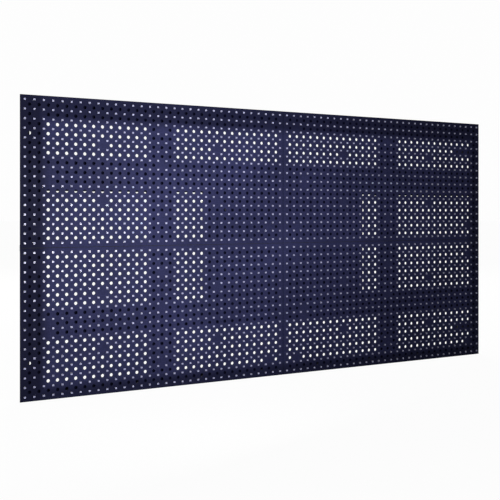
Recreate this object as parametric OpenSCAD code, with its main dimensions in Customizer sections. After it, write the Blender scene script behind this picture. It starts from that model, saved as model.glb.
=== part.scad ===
// See-through LED display cabinet: four perforated LED boards on a riveted sheet frame, with a
// control box, wiring ducts and side bolts at the back.
// The boards face -Y and Z is up. The origin is the centre of the rear bolting plane.

/* [Display face] */
// Distance between neighbouring light points
pitch = 16; // [15:0.5:20]
// Printed circuit board thickness
board_t = 1.6; // [1.2:0.2:2.4]
// Gap between neighbouring boards
board_seam = 0.8; // [0.4:0.2:2]
// Width of the dark strips behind the seams between the boards
seam_strip_w = 10; // [6:1:12]
// Thickness of the seam strips
seam_strip_t = 1.2; // [0.8:0.2:2]
// Diameter of the wind holes between the light points
hole_d = 5.8; // [3:0.2:7]
// Width of one LED package
led_w = 3.5; // [2.8:0.1:5]
// Height of one LED package
led_h = 2.8; // [2.4:0.1:5]
// How far an LED package stands out of its board
led_t = 1.9; // [1:0.1:3]

/* [Board electronics] */
// Length of a driver chip
chip_l = 8.7; // [6:0.1:10]
// Width of a driver chip's body
chip_w = 5.4; // [4:0.1:7]
// Reach across a driver chip's leads
chip_reach = 7.8; // [7.2:0.1:9]
// Height of a driver chip
chip_t = 1.7; // [1:0.1:2.4]
// Data socket width
header_w = 9; // [8:0.5:11]
// Data socket length
header_l = 27; // [22:1:34]
// Data socket height above the board
header_h = 9; // [7:0.5:12]
// Power socket width
socket_w = 17; // [14:1:20]
// Power socket height on the board
socket_l = 9; // [7:0.5:9.5]
// Power socket reach behind the board
socket_h = 11; // [8:0.5:13]
// Wall of the data and power sockets
socket_wall = 1.2; // [0.8:0.2:1.6]
// Contact pin width
contact_w = 0.8; // [0.6:0.1:1.2]

/* [Board fixings] */
// Gap between board and frame, the length of a fixing stud
board_gap = 3; // [2.6:0.2:6]
// Diameter of a fixing stud
stud_d = 8; // [7:0.5:10]
// Thread diameter of a fixing screw
screw_d = 4; // [3:0.5:5]
// Play of a screw in its sheet hole, all round
screw_play = 0.25; // [0.1:0.05:0.5]
// Diameter of a screw head
screw_head_d = 8; // [6:0.5:10]
// Height of a screw head
screw_head_h = 2.4; // [1.5:0.1:3.5]
// Diameter of a service pillar
pillar_d = 6; // [4:0.5:7]
// Length of a service pillar
pillar_l = 8; // [4:0.5:8]
// Play of a service pillar in the sheet behind it, all round
pillar_play = 0.6; // [0.3:0.1:1]

/* [Frame] */
// Thickness of the frame sheet
sheet_t = 2; // [1.5:0.5:3]
// Depth of the frame from front to bolting plane
frame_depth = 25; // [22:1:32]
// Set-back of the frame behind the top and bottom edges of the display face
edge_inset = 1; // [0.5:0.5:2]
// Set-back of the frame behind the left edge of the display face
left_inset = 8; // [4:0.5:9]
// Set-back of the frame behind the right edge of the display face
right_inset = 1; // [0.5:0.5:2]
// Width of the left rail, in light points
left_rail_n = 2.56; // [2.4:0.02:2.7]
// Width of the right rail, in light points
right_rail_n = 1.4; // [1.3:0.02:1.5]
// Width of the top rail, in light points
top_rail_n = 2.5; // [2.4:0.02:2.7]
// Width of the bottom rail, in light points
bottom_rail_n = 1.48; // [1.4:0.02:1.5]
// Width of an upright, in light points
upright_n = 2.94; // [2.6:0.02:3.2]
// Width of the U-shaped rib along an upright
rib_w = 20; // [16:1:24]
// Depth of the rib behind an upright's face
rib_depth = 17; // [12:1:20]
// Width of the rear lips of the top and bottom rails
lip_w = 20; // [18:1:21]
// Diameter of the module ears on the rails
ear_d = 15; // [12:1:20]
// Diameter of the drain holes in the bottom rail
drain_d = 8; // [5:0.5:9]
// Spacing of the drain holes, in light points
drain_n = 8; // [4:1:16]

/* [Wiring ducts] */
// Depth of a duct
duct_depth = 19; // [16:1:21]
// Thickness of the duct sheet
duct_t = 1.5; // [1:0.1:2]
// Thickness of a duct cover
cover_t = 1.2; // [0.8:0.1:1.6]
// Depth of a cover's clipped edges
cover_hem = 5; // [4:0.5:5]
// Play between a cover's edge and the duct wall
cover_play = 0.2; // [0.1:0.05:0.4]
// Clearance around a socket in the duct floor
cutout_play = 1.6; // [0.8:0.2:2]

/* [Riveted joints] */
// Leg of a cleat
cleat_leg = 13; // [11:0.5:14]
// Width of a corner gusset
gusset_w = 16; // [12:1:17]
// Thickness of splice plates and gussets
splice_t = 2; // [1.5:0.5:3]
// Length of a splice plate
splice_l = 24; // [22:1:24]
// Width of a splice plate
splice_w = 12; // [10:1:13]
// Leg of a corner gusset
gusset_l = 52; // [50:1:52]
// Shank diameter of a rivet
rivet_d = 4; // [3:0.2:5]
// Head diameter of a rivet
rivet_head_d = 7.5; // [6:0.5:9]
// Head height of a rivet
rivet_head_h = 1.3; // [0.8:0.1:2]

/* [Bolting points] */
// Distance between the bolting points along the width, in light points
bolt_span_n = 56; // [40:1:58]
// Bore of a rivet nut
nut_bore_d = 6.8; // [5:0.1:8.5]
// Body diameter of a rivet nut
nut_body_d = 11; // [9:0.5:13]
// Body length of a rivet nut
nut_l = 14; // [10:1:18]
// Flange diameter of a rivet nut
nut_flange_d = 16; // [14:0.5:18]
// Flange thickness of a rivet nut
nut_flange_t = 1; // [0.6:0.1:1.5]
// Diameter of the joining holes in the rails' side walls
join_d = 8.5; // [6:0.5:10]
// Distance between the joining holes of the left and right sides, in light points
join_side_n = 16; // [8:1:20]
// Distance between the joining holes of the top and bottom, in light points
join_top_n = 40; // [20:1:50]

/* [Control box] */
// Outside width of the control box
box_w = 322; // [318:1:326]
// Depth of the control box
box_d = 56; // [52:1:70]
// Offset of the control box to the right
box_shift = 24; // [22:1:25]
// Sheet thickness of the control box
box_t = 1.5; // [1:0.1:2]
// Stand-off between the frame plate and the control box
box_standoff = 4; // [3.2:0.2:6]
// Play between the control box and the ducts above and below it
box_play = 2; // [1.7:0.1:3]
// Width of the rear lip around the box opening
box_lip = 10; // [8:1:12]
// Thickness of the door gasket
gasket_t = 1.7; // [1.2:0.1:3]
// Width of the door gasket
gasket_w = 7; // [5:0.5:8]
// Gap left in front of the gasket
gasket_gap = 0.3; // [0.3:0.1:0.5]
// Depth of the door's rim
rim_depth = 9; // [6:1:14]
// Distance of the box's fixing screws from its corners
foot_inset = 14; // [12:1:18]
// Distance of the box's fixing screws from its top and bottom
foot_rise = 28; // [26:1:34]
// Play between door rim and box
rim_play = 0.8; // [0.5:0.1:1.2]

/* [Door hinge and latches] */
// Radius of a hinge pin
pin_r = 2; // [1.5:0.1:3]
// Running clearance of a hinge pin
pin_play = 0.05; // [0.02:0.01:0.1]
// Wall of a hinge knuckle
knuckle_wall = 1.6; // [1.2:0.1:2.5]
// Length of one hinge
hinge_l = 48; // [36:1:60]
// Width of a hinge leaf
leaf_w = 18; // [14:1:24]
// Thickness of a hinge leaf
leaf_t = 1.6; // [1.2:0.1:2]
// Distance between the two hinges
hinge_span = 120; // [110:1:125]
// Diameter of a latch barrel
latch_d = 14; // [10:0.5:16]
// Running clearance of a latch barrel
latch_play = 0.08; // [0.03:0.01:0.1]
// Diameter of a latch bezel
bezel_d = 22; // [19:0.5:26]
// Height of a latch bezel above the door
bezel_h = 3; // [2:0.5:5]
// Distance between the two latches
latch_span = 110; // [90:1:120]
// Distance of a latch from the door's free edge
latch_inset = 22; // [21:1:26]
// Length of a latch cam from its axis
cam_l = 17; // [15:1:18]
// Width of a latch cam
cam_w = 9; // [7:0.5:11]
// Thickness of a latch cam
cam_t = 2.5; // [1.5:0.5:4]

/* [Side bolts and keepers] */
// Row of the upper side bolt, counted from the top edge in light points
bolt_row_n = 4; // [3.8:0.1:4.4]
// Diameter of a side bolt
sbolt_d = 8; // [6:0.5:9]
// Diameter of a side bolt's turned-down nose
nose_d = 7.4; // [5:0.1:8]
// Travel of a side bolt
sbolt_travel = 25; // [20:1:25]
// How far the upper side bolt is drawn shot
sbolt_shown = 10; // [9:0.5:11]
// Running clearance of a side bolt
sbolt_play = 0.08; // [0.03:0.01:0.1]
// Length of a bolt case
case_l = 49; // [47:1:51]
// Height of a bolt case
case_h = 16; // [13:1:18]
// Depth of a bolt case
case_d = 16; // [14:1:18]
// Distance of a bolt's knob from its axis
knob_reach = 17; // [15:1:20]
// Diameter of a bolt's knob
knob_d = 9; // [7:0.5:10]
// Diameter of a bolt's arm
arm_d = 4; // [3:0.5:5]
// Clearance around a bolt's arm in its slot
arm_play = 0.5; // [0.3:0.1:1]
// Length of a side bolt
sbolt_l = 46; // [44:1:48]
// Distance of a withdrawn bolt's arm from the rail's outer face
arm_offset = 32; // [32:0.5:33]
// Clearance of a neighbour's bolt in its keeper, all round
keeper_play = 0.25; // [0.1:0.05:0.5]
// Length of a keeper block
keeper_l = 8; // [6:1:13]
// Size of the sight slot beside a keeper
sight_w = 7; // [4:0.5:8]

/* [Sockets and button on the control box] */
// Width and height of a round socket's flange
bulkhead_w = 26; // [24:1:28]
// Thickness of a round socket's flange
bulkhead_t = 2; // [1.5:0.5:3]
// Outside diameter of a round socket
barrel_d = 22; // [20:0.5:24]
// Reach of a round socket outside the box
barrel_l = 14; // [12:1:18]
// Bore of a round socket
barrel_bore_d = 16; // [12:0.5:17]
// Depth of a round socket's bore
barrel_bore_l = 11; // [8:1:13]
// Distance between neighbouring round sockets
bulkhead_span = 34; // [32:1:35]
// Diameter of the test button
button_d = 9; // [7:0.5:11]
// Height of the test button above its ring
button_h = 4; // [3:0.5:6]
// Travel of the test button
button_travel = 2; // [1:0.5:2.5]
// Running clearance of the test button
button_play = 0.1; // [0.05:0.01:0.1]
// Diameter of the test button's ring
ring_d = 15; // [13:0.5:18]

/* [Inside the control box] */
// Share of the box's inside width that the power supply takes
psu_share = 0.583; // [0.5:0.001:0.585]
// Power supply height
psu_h = 84; // [80:1:88]
// Power supply depth
psu_d = 30; // [26:1:34]
// Height of the power supply's feet, over the box's fixing screws
psu_foot = 3; // [2.8:0.2:5]
// Power supply sheet thickness
psu_t = 1.2; // [0.8:0.1:2]
// Terminal strip length
terminal_l = 72; // [60:1:72]
// Share of the box's inside width that the control card takes
card_share = 0.2132; // [0.18:0.0001:0.215]
// Control card height
card_h = 140; // [120:1:160]
// Circuit card thickness inside the box
card_t = 1.6; // [1.2:0.2:2]
// Height of the cards above the box floor
card_lift = 10; // [8:1:14]
// Share of the box's inside width that the hub card takes
hub_share = 0.583; // [0.56:0.001:0.585]
// Length of a power strip on the hub card
strip_l = 34; // [32:1:36]
// Height of a power strip on the hub card
strip_h = 10; // [8:0.5:10.5]
// Hub card height
hub_h = 52; // [44:1:56]

/* [Wiring] */
// Width of the gates between the ducts and the box
gate_w = 44; // [42:1:48]
// Height of a cable plug above its socket
plug_h = 3; // [2:0.5:4]
// Width of a ribbon cable
ribbon_w = 20; // [16:1:24]
// Thickness of a ribbon cable
ribbon_t = 1.2; // [1:0.1:1.5]
// Diameter of a power lead
lead_d = 3.2; // [2:0.2:3.6]
// Distance between the two leads of a pair
lead_pair = 4.8; // [4:0.2:6]
// Distance of the leads from the duct's edge
lead_inset = 9; // [8:0.5:11]

/* [Hidden] */

cols = 64;
rows = 32;
half_w = cols * pitch / 2;
half_h = rows * pitch / 2;
$fn = 32;

// Depths, all measured from the bolting plane at y = 0
y_lip = -nut_flange_t;
y_face = y_lip - frame_depth;
y_back = y_face + sheet_t;
y_board = y_face - board_gap;
y_front = y_board - board_t;

// Places on the lattice: column from the left edge, row from the top edge
function gx(i) = i * pitch - half_w;
function gz(j) = half_h - j * pitch;

// Frame edges
x_left = gx(0) + left_inset;
x_right = gx(cols) - right_inset;
z_top = gz(0) - edge_inset;
z_bottom = gz(rows) + edge_inset;
x_left_in = gx(left_rail_n);
x_right_in = gx(cols - right_rail_n);
z_top_in = gz(top_rail_n);
z_bottom_in = gz(rows - bottom_rail_n);
upright_cols = [16, 48];
upper_duct_rows = [6.5, 9.97];
lower_duct_rows = [22.36, 25.76];
plate_cols = [21.65, 44.16];
plate_x = [gx(plate_cols[0]), gx(plate_cols[1])];
box_x = [box_shift - box_w / 2, box_shift + box_w / 2];
inner_w = box_w - 2 * box_t;
side_room = 6;
socket_room = 21;
psu_x = [box_x[0] + box_t + side_room, box_x[0] + box_t + side_room + psu_share * inner_w];
hub_x = [psu_x[0], psu_x[0] + hub_share * inner_w];
card_x = [box_x[1] - box_t - socket_room - card_share * inner_w, box_x[1] - box_t - socket_room];
gate_inset = 48;
lower_gate_shift = 3;
strip_inset = 42;
gate_rivet_gap = 50;
plate_rivet_inset = 15;
upper_gates = [hub_x[0] + gate_inset, hub_x[1] - gate_inset];
lower_gate = (psu_x[1] + card_x[0]) / 2 - lower_gate_shift;
strips = [hub_x[0] + strip_inset, hub_x[1] - strip_inset];
plate_rivet_x = [
    upper_gates[0] - gate_rivet_gap, upper_gates[0] + gate_rivet_gap,
    lower_gate + gate_rivet_gap, plate_x[1] - plate_rivet_inset,
];

// Lattice cells of one 32 by 16 board, counted from its centre, that have no wind hole
stud_cells = [[-14, -6], [14, -6], [-14, 6], [14, 6], [0, -5], [0, 5]];
pillar_cells = [[-7, -3], [7, -3], [-7, 3], [7, 3]];
data_cell = [-13, -0.5];
power_cell = [0, 1];
solder_cells = [[-13, 0], [-13, -1], power_cell];
blank_cells = concat(stud_cells, pillar_cells, solder_cells);
board_cols = 32;
board_rows = 16;
board_centres = [for (z = [8, -8]) for (x = [-16, 16]) [x * pitch, z * pitch]];

function listed(cell, list) = len([for (e = list) if (e == cell) 1]) > 0;

// ---------------------------------------------------------------- helpers

module slab(x, y, z) {
    translate([x[0], y[0], z[0]]) cube([x[1] - x[0], y[1] - y[0], z[1] - z[0]]);
}

module rod_x(x, y, z, d) {
    translate([x[0], y, z]) rotate([0, 90, 0]) cylinder(d = d, h = x[1] - x[0]);
}

module rod_y(x, y, z, d) {
    translate([x, y[0], z]) rotate([-90, 0, 0]) cylinder(d = d, h = y[1] - y[0]);
}

module rod_z(x, y, z, d) {
    translate([x, y, z[0]]) cylinder(d = d, h = z[1] - z[0]);
}

// ---------------------------------------------------------------- display boards

module led_board(centre) {
    color("midnightblue")
        translate([centre[0], y_board, centre[1]]) rotate([90, 0, 0]) linear_extrude(board_t)
            difference() {
                square([board_cols * pitch - board_seam, board_rows * pitch - board_seam], center = true);
                for (i = [1 - board_cols / 2 : board_cols / 2 - 1])
                    for (j = [1 - board_rows / 2 : board_rows / 2 - 1])
                        if (!listed([i, j], blank_cells))
                            translate([i, j] * pitch) circle(d = hole_d, $fn = 24);
            }
}

module leds(centre) {
    color("lavender")
        for (i = [0 : board_cols - 1])
            for (j = [0 : board_rows - 1])
                translate([
                    centre[0] + (i - board_cols / 2 + 0.5) * pitch - led_w / 2,
                    y_front - led_t,
                    centre[1] + (j - board_rows / 2 + 0.5) * pitch - led_h / 2
                ]) cube([led_w, led_t, led_h]);
}

// Chips sit behind light points, clear of the wind holes
module driver_chips() {
    color("dimgray")
        for (c = board_centres)
            for (i = [-13.5, -9.5, -5.5, -3.5, 3.5, 5.5, 9.5, 12.5])
                for (j = [-5.5, 1.5, 5.5])
                    translate([c[0] + i * pitch, y_board, c[1] + j * pitch]) {
                        slab([-chip_l / 2, chip_l / 2], [0.2, chip_t], [-chip_w / 2, chip_w / 2]);
                        slab([-chip_l / 2 + 0.4, chip_l / 2 - 0.4], [0, 0.3],
                             [-chip_reach / 2, chip_reach / 2]);
                    }
}

module socket(w, l, h, pins) {
    difference() {
        slab([-w / 2, w / 2], [0, h], [-l / 2, l / 2]);
        slab([-w / 2 + socket_wall, w / 2 - socket_wall], [socket_wall * 2, h + 1],
             [-l / 2 + socket_wall, l / 2 - socket_wall]);
    }
    for (p = pins)
        translate([p[0], 0, p[1]])
            slab([-contact_w / 2, contact_w / 2], [socket_wall, h - 2], [-contact_w / 2, contact_w / 2]);
}

module data_sockets() {
    pins = [for (x = [-1.27, 1.27]) for (k = [-3.5 : 3.5]) [x, k * 2.54]];
    color("black")
        for (c = board_centres)
            translate([c[0] + data_cell[0] * pitch, y_board, c[1] + data_cell[1] * pitch])
                socket(header_w, header_l, header_h, pins);
}

module module_power_sockets() {
    pins = [for (k = [-1.5 : 1.5]) [k * 3.6, 0]];
    color("ivory")
        for (c = board_centres)
            translate([c[0] + power_cell[0] * pitch, y_board, c[1] + power_cell[1] * pitch])
                socket(socket_w, socket_l, socket_h, pins);
}

module at_studs() {
    for (c = board_centres)
        for (s = stud_cells)
            translate([c[0] + s[0] * pitch, 0, c[1] + s[1] * pitch]) children();
}

module fixing_studs() {
    color("silver")
        at_studs()
            difference() {
                rod_y(0, [y_board, y_face], 0, stud_d);
                rod_y(0, [y_board + 0.6, y_face + 1], 0, screw_d);
            }
}

module module_screws() {
    color("silver")
        at_studs() {
            rod_y(0, [y_board + 1, y_back], 0, screw_d);
            difference() {
                rod_y(0, [y_back, y_back + screw_head_h], 0, screw_head_d);
                translate([0, y_back + 1, 0]) rotate([-90, 0, 0])
                    cylinder(d = screw_d * 0.7, h = screw_head_h, $fn = 6);
            }
        }
}

module at_pillars() {
    for (c = board_centres)
        for (p = pillar_cells)
            translate([c[0] + p[0] * pitch, 0, c[1] + p[1] * pitch]) children();
}

module service_pillars() {
    color("silver") at_pillars() rod_y(0, [y_board, y_board + pillar_l], 0, pillar_d);
}

// Dark strips on the backs of the boards that close the seams between them
module seam_strips() {
    y = [y_board, y_board + seam_strip_t];
    half = seam_strip_w / 2;
    end = board_seam / 2;
    color("black") {
        slab([gx(0) + end, gx(cols) - end], y, [-half, half]);
        slab([-half, half], y, [gz(rows) + end, gz(0) - end]);
    }
}

// Screw holes through any piece of frame sheet
module stud_holes() {
    at_studs() rod_y(0, [y_face - 1, y_back + 1], 0, screw_d + 2 * screw_play);
}

// ---------------------------------------------------------------- frame

module ear(x, z, dx, dz) {
    rod_y(x, [y_face, y_back], z, ear_d);
    slab([min(x, x + dx) - (dx == 0 ? ear_d / 2 : 0), max(x, x + dx) + (dx == 0 ? ear_d / 2 : 0)],
         [y_face, y_back],
         [min(z, z + dz) - (dz == 0 ? ear_d / 2 : 0), max(z, z + dz) + (dz == 0 ? ear_d / 2 : 0)]);
}

z_bolt_upper = gz(bolt_row_n);
z_bolt_lower = gz(rows - bolt_row_n);
y_sbolt = y_back + case_d / 2;
y_join = y_lip - frame_depth / 2;

module left_rail() {
    color("dimgray")
        difference() {
            union() {
                slab([x_left, x_left_in], [y_face, y_back], [z_bottom, z_top]);
                slab([x_left, x_left + sheet_t], [y_face, y_lip], [z_bottom, z_top]);
            }
            stud_holes();
            face_holes();
            for (z = [-1, 1] * join_side_n * pitch / 2)
                rod_x([x_left - 1, x_left + sheet_t + 1], y_join, z, join_d);
            for (z = [z_bolt_upper, z_bolt_lower]) {
                rod_x([x_left - 1, x_left + sheet_t + 1], y_sbolt, z, sbolt_d + 1);
                slab([x_left + sheet_t + keeper_l - sight_w / 2, x_left + sheet_t + keeper_l + sight_w / 2],
                     [y_face - 1, y_back + 1], [z - sight_w, z + sight_w]);
            }
        }
}

module right_rail() {
    color("dimgray")
        difference() {
            union() {
                slab([x_right_in, x_right], [y_face, y_back], [z_bottom, z_top]);
                slab([x_right - sheet_t, x_right], [y_face, y_lip], [z_bottom, z_top]);
                for (j = [14, 18])
                    ear(gx(62), gz(j), x_right_in - gx(62) + 1, 0);
            }
            stud_holes();
            face_holes();
            for (z = [-1, 1] * join_side_n * pitch / 2)
                rod_x([x_right - sheet_t - 1, x_right + 1], y_join, z, join_d);
            for (z = [z_bolt_upper, z_bolt_lower])
                rod_x([x_right - sheet_t - 1, x_right + 1], y_sbolt, z, sbolt_d + 1);
        }
}

// Flange, outer wall and rear lip; inward is -1 on the top rail and 1 on the bottom rail
module long_rail(z_out, z_in, inward) {
    x = [x_left_in, x_right_in];
    wall = [min(z_out, z_out + inward * sheet_t), max(z_out, z_out + inward * sheet_t)];
    lip = [min(z_out, z_out + inward * lip_w), max(z_out, z_out + inward * lip_w)];
    x_wall = [x_left + sheet_t, x_right - sheet_t];
    slab(x, [y_face, y_back], [min(z_out, z_in), max(z_out, z_in)]);
    slab(x_wall, [y_back, y_lip], wall);
    slab(x, [y_face, y_lip], wall);
    slab(x_wall, [y_lip - sheet_t, y_lip], lip);
}

module nut_holes() {
    for (x = [-1, 1] * bolt_span_n * pitch / 2)
        for (z = [z_top - lip_w / 2 - 1, z_bottom + lip_w / 2 + 1])
            rod_y(x, [y_lip - sheet_t - 1, y_lip + 1], z, nut_body_d);
}

module top_rail() {
    color("dimgray")
        difference() {
            long_rail(z_top, z_top_in, -1);
            stud_holes();
            face_holes();
            nut_holes();
            for (x = [-1, 1] * join_top_n * pitch / 2)
                rod_z(x, y_join, [z_top - sheet_t - 1, z_top + 1], join_d);
        }
}

module bottom_rail() {
    color("dimgray")
        difference() {
            union() {
                long_rail(z_bottom, z_bottom_in, 1);
                for (i = [30, 34, 62])
                    ear(gx(i), gz(30), 0, z_bottom_in - gz(30) - 1);
            }
            stud_holes();
            face_holes();
            nut_holes();
            for (x = [-1, 1] * join_top_n * pitch / 2)
                rod_z(x, y_join, [z_bottom - 1, z_bottom + sheet_t + 1], join_d);
            for (i = [5 : drain_n : cols])
                rod_y(gx(i), [y_face - 1, y_back + 1], gz(31) - 1, drain_d);
        }
}

// Flat faces with a U-shaped rib behind each
module uprights(z_low, z_high) {
    w = upright_n * pitch / 2;
    color("dimgray")
        difference() {
            for (c = upright_cols)
                translate([gx(c), 0, 0]) {
                    slab([-w, w], [y_face, y_back], [z_low, z_high]);
                    for (x = [-rib_w / 2, rib_w / 2 - sheet_t])
                        slab([x, x + sheet_t], [y_back, y_face + rib_depth], [z_low, z_high]);
                }
            stud_holes();
            face_holes();
        }
}

function duct_z(r) = [gz(r[1]), gz(r[0])];

z_duct_upper = duct_z(upper_duct_rows);
z_duct_lower = duct_z(lower_duct_rows);
y_gate = [y_back + box_standoff + box_t + 0.5, y_face + duct_depth + 0.5];

// Channel that is open to the back, with a cutout for every socket and gates to the box
module duct(r) {
    z = duct_z(r);
    y_end = y_face + duct_depth;
    upper = r == upper_duct_rows;
    z_gate = upper ? z[0] : z[1] - duct_t;
    color("dimgray")
        difference() {
            union() {
                slab([x_left_in, x_right_in], [y_face, y_back], z);
                for (low = [z[0], z[1] - duct_t])
                    slab([x_left_in, x_right_in], [y_back, y_end], [low, low + duct_t]);
            }
            for (c = board_centres) {
                translate([c[0] + data_cell[0] * pitch, 0, c[1] + data_cell[1] * pitch])
                    slab([-header_w / 2 - cutout_play, header_w / 2 + cutout_play], [y_face - 1, y_back + 1],
                         [-header_l / 2 - cutout_play, header_l / 2 + cutout_play]);
                translate([c[0] + power_cell[0] * pitch, 0, c[1] + power_cell[1] * pitch])
                    slab([-socket_w / 2 - cutout_play, socket_w / 2 + cutout_play], [y_face - 1, y_back + 1],
                         [-socket_l / 2 - cutout_play / 2, socket_l / 2 + cutout_play / 2]);
            }
            for (x = upper ? upper_gates : [lower_gate])
                slab([x - gate_w / 2, x + gate_w / 2], y_gate, [z_gate - 1, z_gate + duct_t + 1]);
            face_holes();
            wall_holes();
        }
}

// Clipped edges of the covers are notched at the gates
module duct_covers() {
    y = y_face + duct_depth;
    x = [x_left_in + 1, x_right_in - 1];
    inner = duct_t + cover_play;
    notch = gate_w / 2 + cover_play;
    color("black")
        difference() {
            for (z = [z_duct_upper, z_duct_lower]) {
                slab(x, [y, y + cover_t], z);
                for (low = [z[0] + inner, z[1] - inner - cover_t])
                    slab(x, [y - cover_hem, y], [low, low + cover_t]);
            }
            for (gate = upper_gates)
                slab([gate - notch, gate + notch], [y - cover_hem - 1, y],
                     [z_duct_upper[0], z_duct_upper[0] + inner + cover_t + 1]);
            slab([lower_gate - notch, lower_gate + notch], [y - cover_hem - 1, y],
                 [z_duct_lower[1] - inner - cover_t - 1, z_duct_lower[1]]);
        }
}

plate_z = [gz(lower_duct_rows[0]), gz(upper_duct_rows[1])];
y_fold = y_face + 15;

// Carries the control box and is folded back against both ducts
module centre_plate() {
    color("dimgray")
        difference() {
            union() {
                slab(plate_x, [y_face, y_back], plate_z);
                for (low = [plate_z[0], plate_z[1] - sheet_t])
                    slab(plate_x, [y_back, y_fold], [low, low + sheet_t]);
            }
            stud_holes();
            for (x = upper_gates)
                slab(
                    [x - gate_w / 2, x + gate_w / 2],
                    [y_gate[0], y_fold + 1],
                    [plate_z[1] - sheet_t - 1, plate_z[1] + 1]
                );
            slab([lower_gate - gate_w / 2, lower_gate + gate_w / 2], [y_gate[0], y_fold + 1],
                 [plate_z[0] - 1, plate_z[0] + sheet_t + 1]);
            for (p = box_feet)
                rod_y(p[0], [y_face - 1, y_back + 1], p[1], screw_d + 2 * screw_play);
            at_pillars() rod_y(0, [y_face - 1, y_back + 1], 0, pillar_d + 2 * pillar_play);
            wall_holes();
        }
}

// ---------------------------------------------------------------- riveted joints

splice_side = (upright_n * pitch / 2 + rib_w / 2) / 2;
upright_ends = [for (c = upright_cols) for (z = [z_top_in, z_bottom_in]) [gx(c), z]];
duct_ends = [
    for (r = [upper_duct_rows, lower_duct_rows])
        for (x = [x_left_in, x_right_in])
            [x, duct_z(r)[1] - duct_t - splice_w / 2 - 3]
];
gusset_corners = [
    [x_left + sheet_t, z_top - sheet_t, 1, -1], [x_right - sheet_t, z_top - sheet_t, -1, -1],
    [x_left + sheet_t, z_bottom + sheet_t, 1, 1], [x_right - sheet_t, z_bottom + sheet_t, -1, 1],
];
// Where an upright meets a duct: column, height of the duct's edge, and which way the upright lies
cleat_ends = [
    for (c = upright_cols)
        for (r = [upper_duct_rows, lower_duct_rows])
            for (k = [0, 1]) [gx(c), duct_z(r)[k], k == 0 ? -1 : 1]
];

splice_rivets = concat(
    [for (e = upright_ends) for (s = [-1, 1]) for (t = [-1, 1])
        [e[0] + s * splice_side, e[1] + t * splice_l / 4]],
    [for (e = duct_ends) for (t = [-1, 1]) [e[0] + t * splice_l / 4, e[1]]],
    [for (g = gusset_corners) for (u = [gusset_w * 0.45, gusset_l - 6])
        [g[0] + g[2] * u, g[1] + g[3] * gusset_w / 2]],
    [for (g = gusset_corners) [g[0] + g[2] * gusset_w / 2, g[1] + g[3] * (gusset_l - 6)]]
);
cleat_rivets = [
    for (e = cleat_ends)
        for (s = [-1, 1]) [e[0] + s * splice_side, e[1] + e[2] * cleat_leg * 0.6]
];
wall_rivets = concat(
    [for (e = cleat_ends) for (s = [-1, 1]) [e[0] + s * splice_side, y_back + cleat_leg * 0.6, e[1], e[2]]],
    [for (x = plate_rivet_x) for (k = [0, 1])
        [x, y_back + cleat_leg * 0.6, plate_z[k], k == 0 ? 1 : -1]]
);

// Rivet holes through sheet that lies in the frame's face
module face_holes() {
    for (p = concat(splice_rivets, cleat_rivets))
        rod_y(p[0], [y_face - 1, y_back + splice_t + 1], p[1], rivet_d);
}

// Rivet holes through the walls of the ducts and what is riveted to them
module wall_holes() {
    for (p = wall_rivets)
        rod_z(p[0], p[1], [p[2] - duct_t - splice_t - 1, p[2] + duct_t + splice_t + 1], rivet_d);
}

// Flat plates across the butt joints and gussets in the corners, behind the sheet
module joint_plates() {
    color("gray")
        difference() {
            union() {
                for (e = upright_ends)
                    for (s = [-1, 1])
                        translate([e[0] + s * splice_side, 0, e[1]])
                            slab([-splice_w / 2, splice_w / 2], [y_back, y_back + splice_t],
                                 [-splice_l / 2, splice_l / 2]);
                for (e = duct_ends)
                    translate([e[0], 0, e[1]])
                        slab([-splice_l / 2, splice_l / 2], [y_back, y_back + splice_t],
                             [-splice_w / 2, splice_w / 2]);
                for (g = gusset_corners)
                    translate([g[0], 0, g[1]])
                        mirror([g[2] < 0 ? 1 : 0, 0, 0]) mirror([0, 0, g[3] < 0 ? 1 : 0]) {
                            slab([0, gusset_l], [y_back, y_back + splice_t], [0, gusset_w]);
                            slab([0, gusset_w], [y_back, y_back + splice_t], [gusset_w, gusset_l]);
                        }
            }
            face_holes();
        }
}

// Small angles that join the uprights to the duct walls
module cleats() {
    color("gray")
        difference() {
            for (e = cleat_ends)
                for (s = [-1, 1])
                    translate([e[0] + s * splice_side, y_back, e[1]]) mirror([0, 0, e[2] < 0 ? 1 : 0]) {
                        slab([-splice_w / 2, splice_w / 2], [0, splice_t], [0, cleat_leg]);
                        slab([-splice_w / 2, splice_w / 2], [splice_t, cleat_leg], [0, splice_t]);
                    }
            face_holes();
            wall_holes();
        }
}

// A rivet along +Z from z = 0 through a stack of sheet
module rivet(grip) {
    translate([0, 0, -rivet_head_h]) cylinder(d = rivet_head_d, h = rivet_head_h);
    cylinder(d = rivet_d, h = grip);
    translate([0, 0, grip]) cylinder(d = rivet_head_d, h = rivet_head_h);
}

module frame_rivets() {
    color("dimgray") {
        for (p = concat(splice_rivets, cleat_rivets))
            translate([p[0], y_face, p[1]]) rotate([-90, 0, 0]) rivet(sheet_t + splice_t);
        for (p = wall_rivets)
            translate([p[0], p[1], p[2] - p[3] * duct_t]) mirror([0, 0, p[3] < 0 ? 1 : 0])
                rivet(duct_t + splice_t);
    }
}

// Rivet nuts whose flanges are the bolting plane
module mounting_nuts() {
    color("silver")
        for (x = [-1, 1] * bolt_span_n * pitch / 2)
            for (z = [z_top - lip_w / 2 - 1, z_bottom + lip_w / 2 + 1])
                difference() {
                    union() {
                        rod_y(x, [y_lip, 0], z, nut_flange_d);
                        rod_y(x, [y_lip - nut_l, y_lip], z, nut_body_d);
                    }
                    rod_y(x, [y_lip - nut_l - 1, 1], z, nut_bore_d);
                }
}

// ---------------------------------------------------------------- control box

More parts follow.
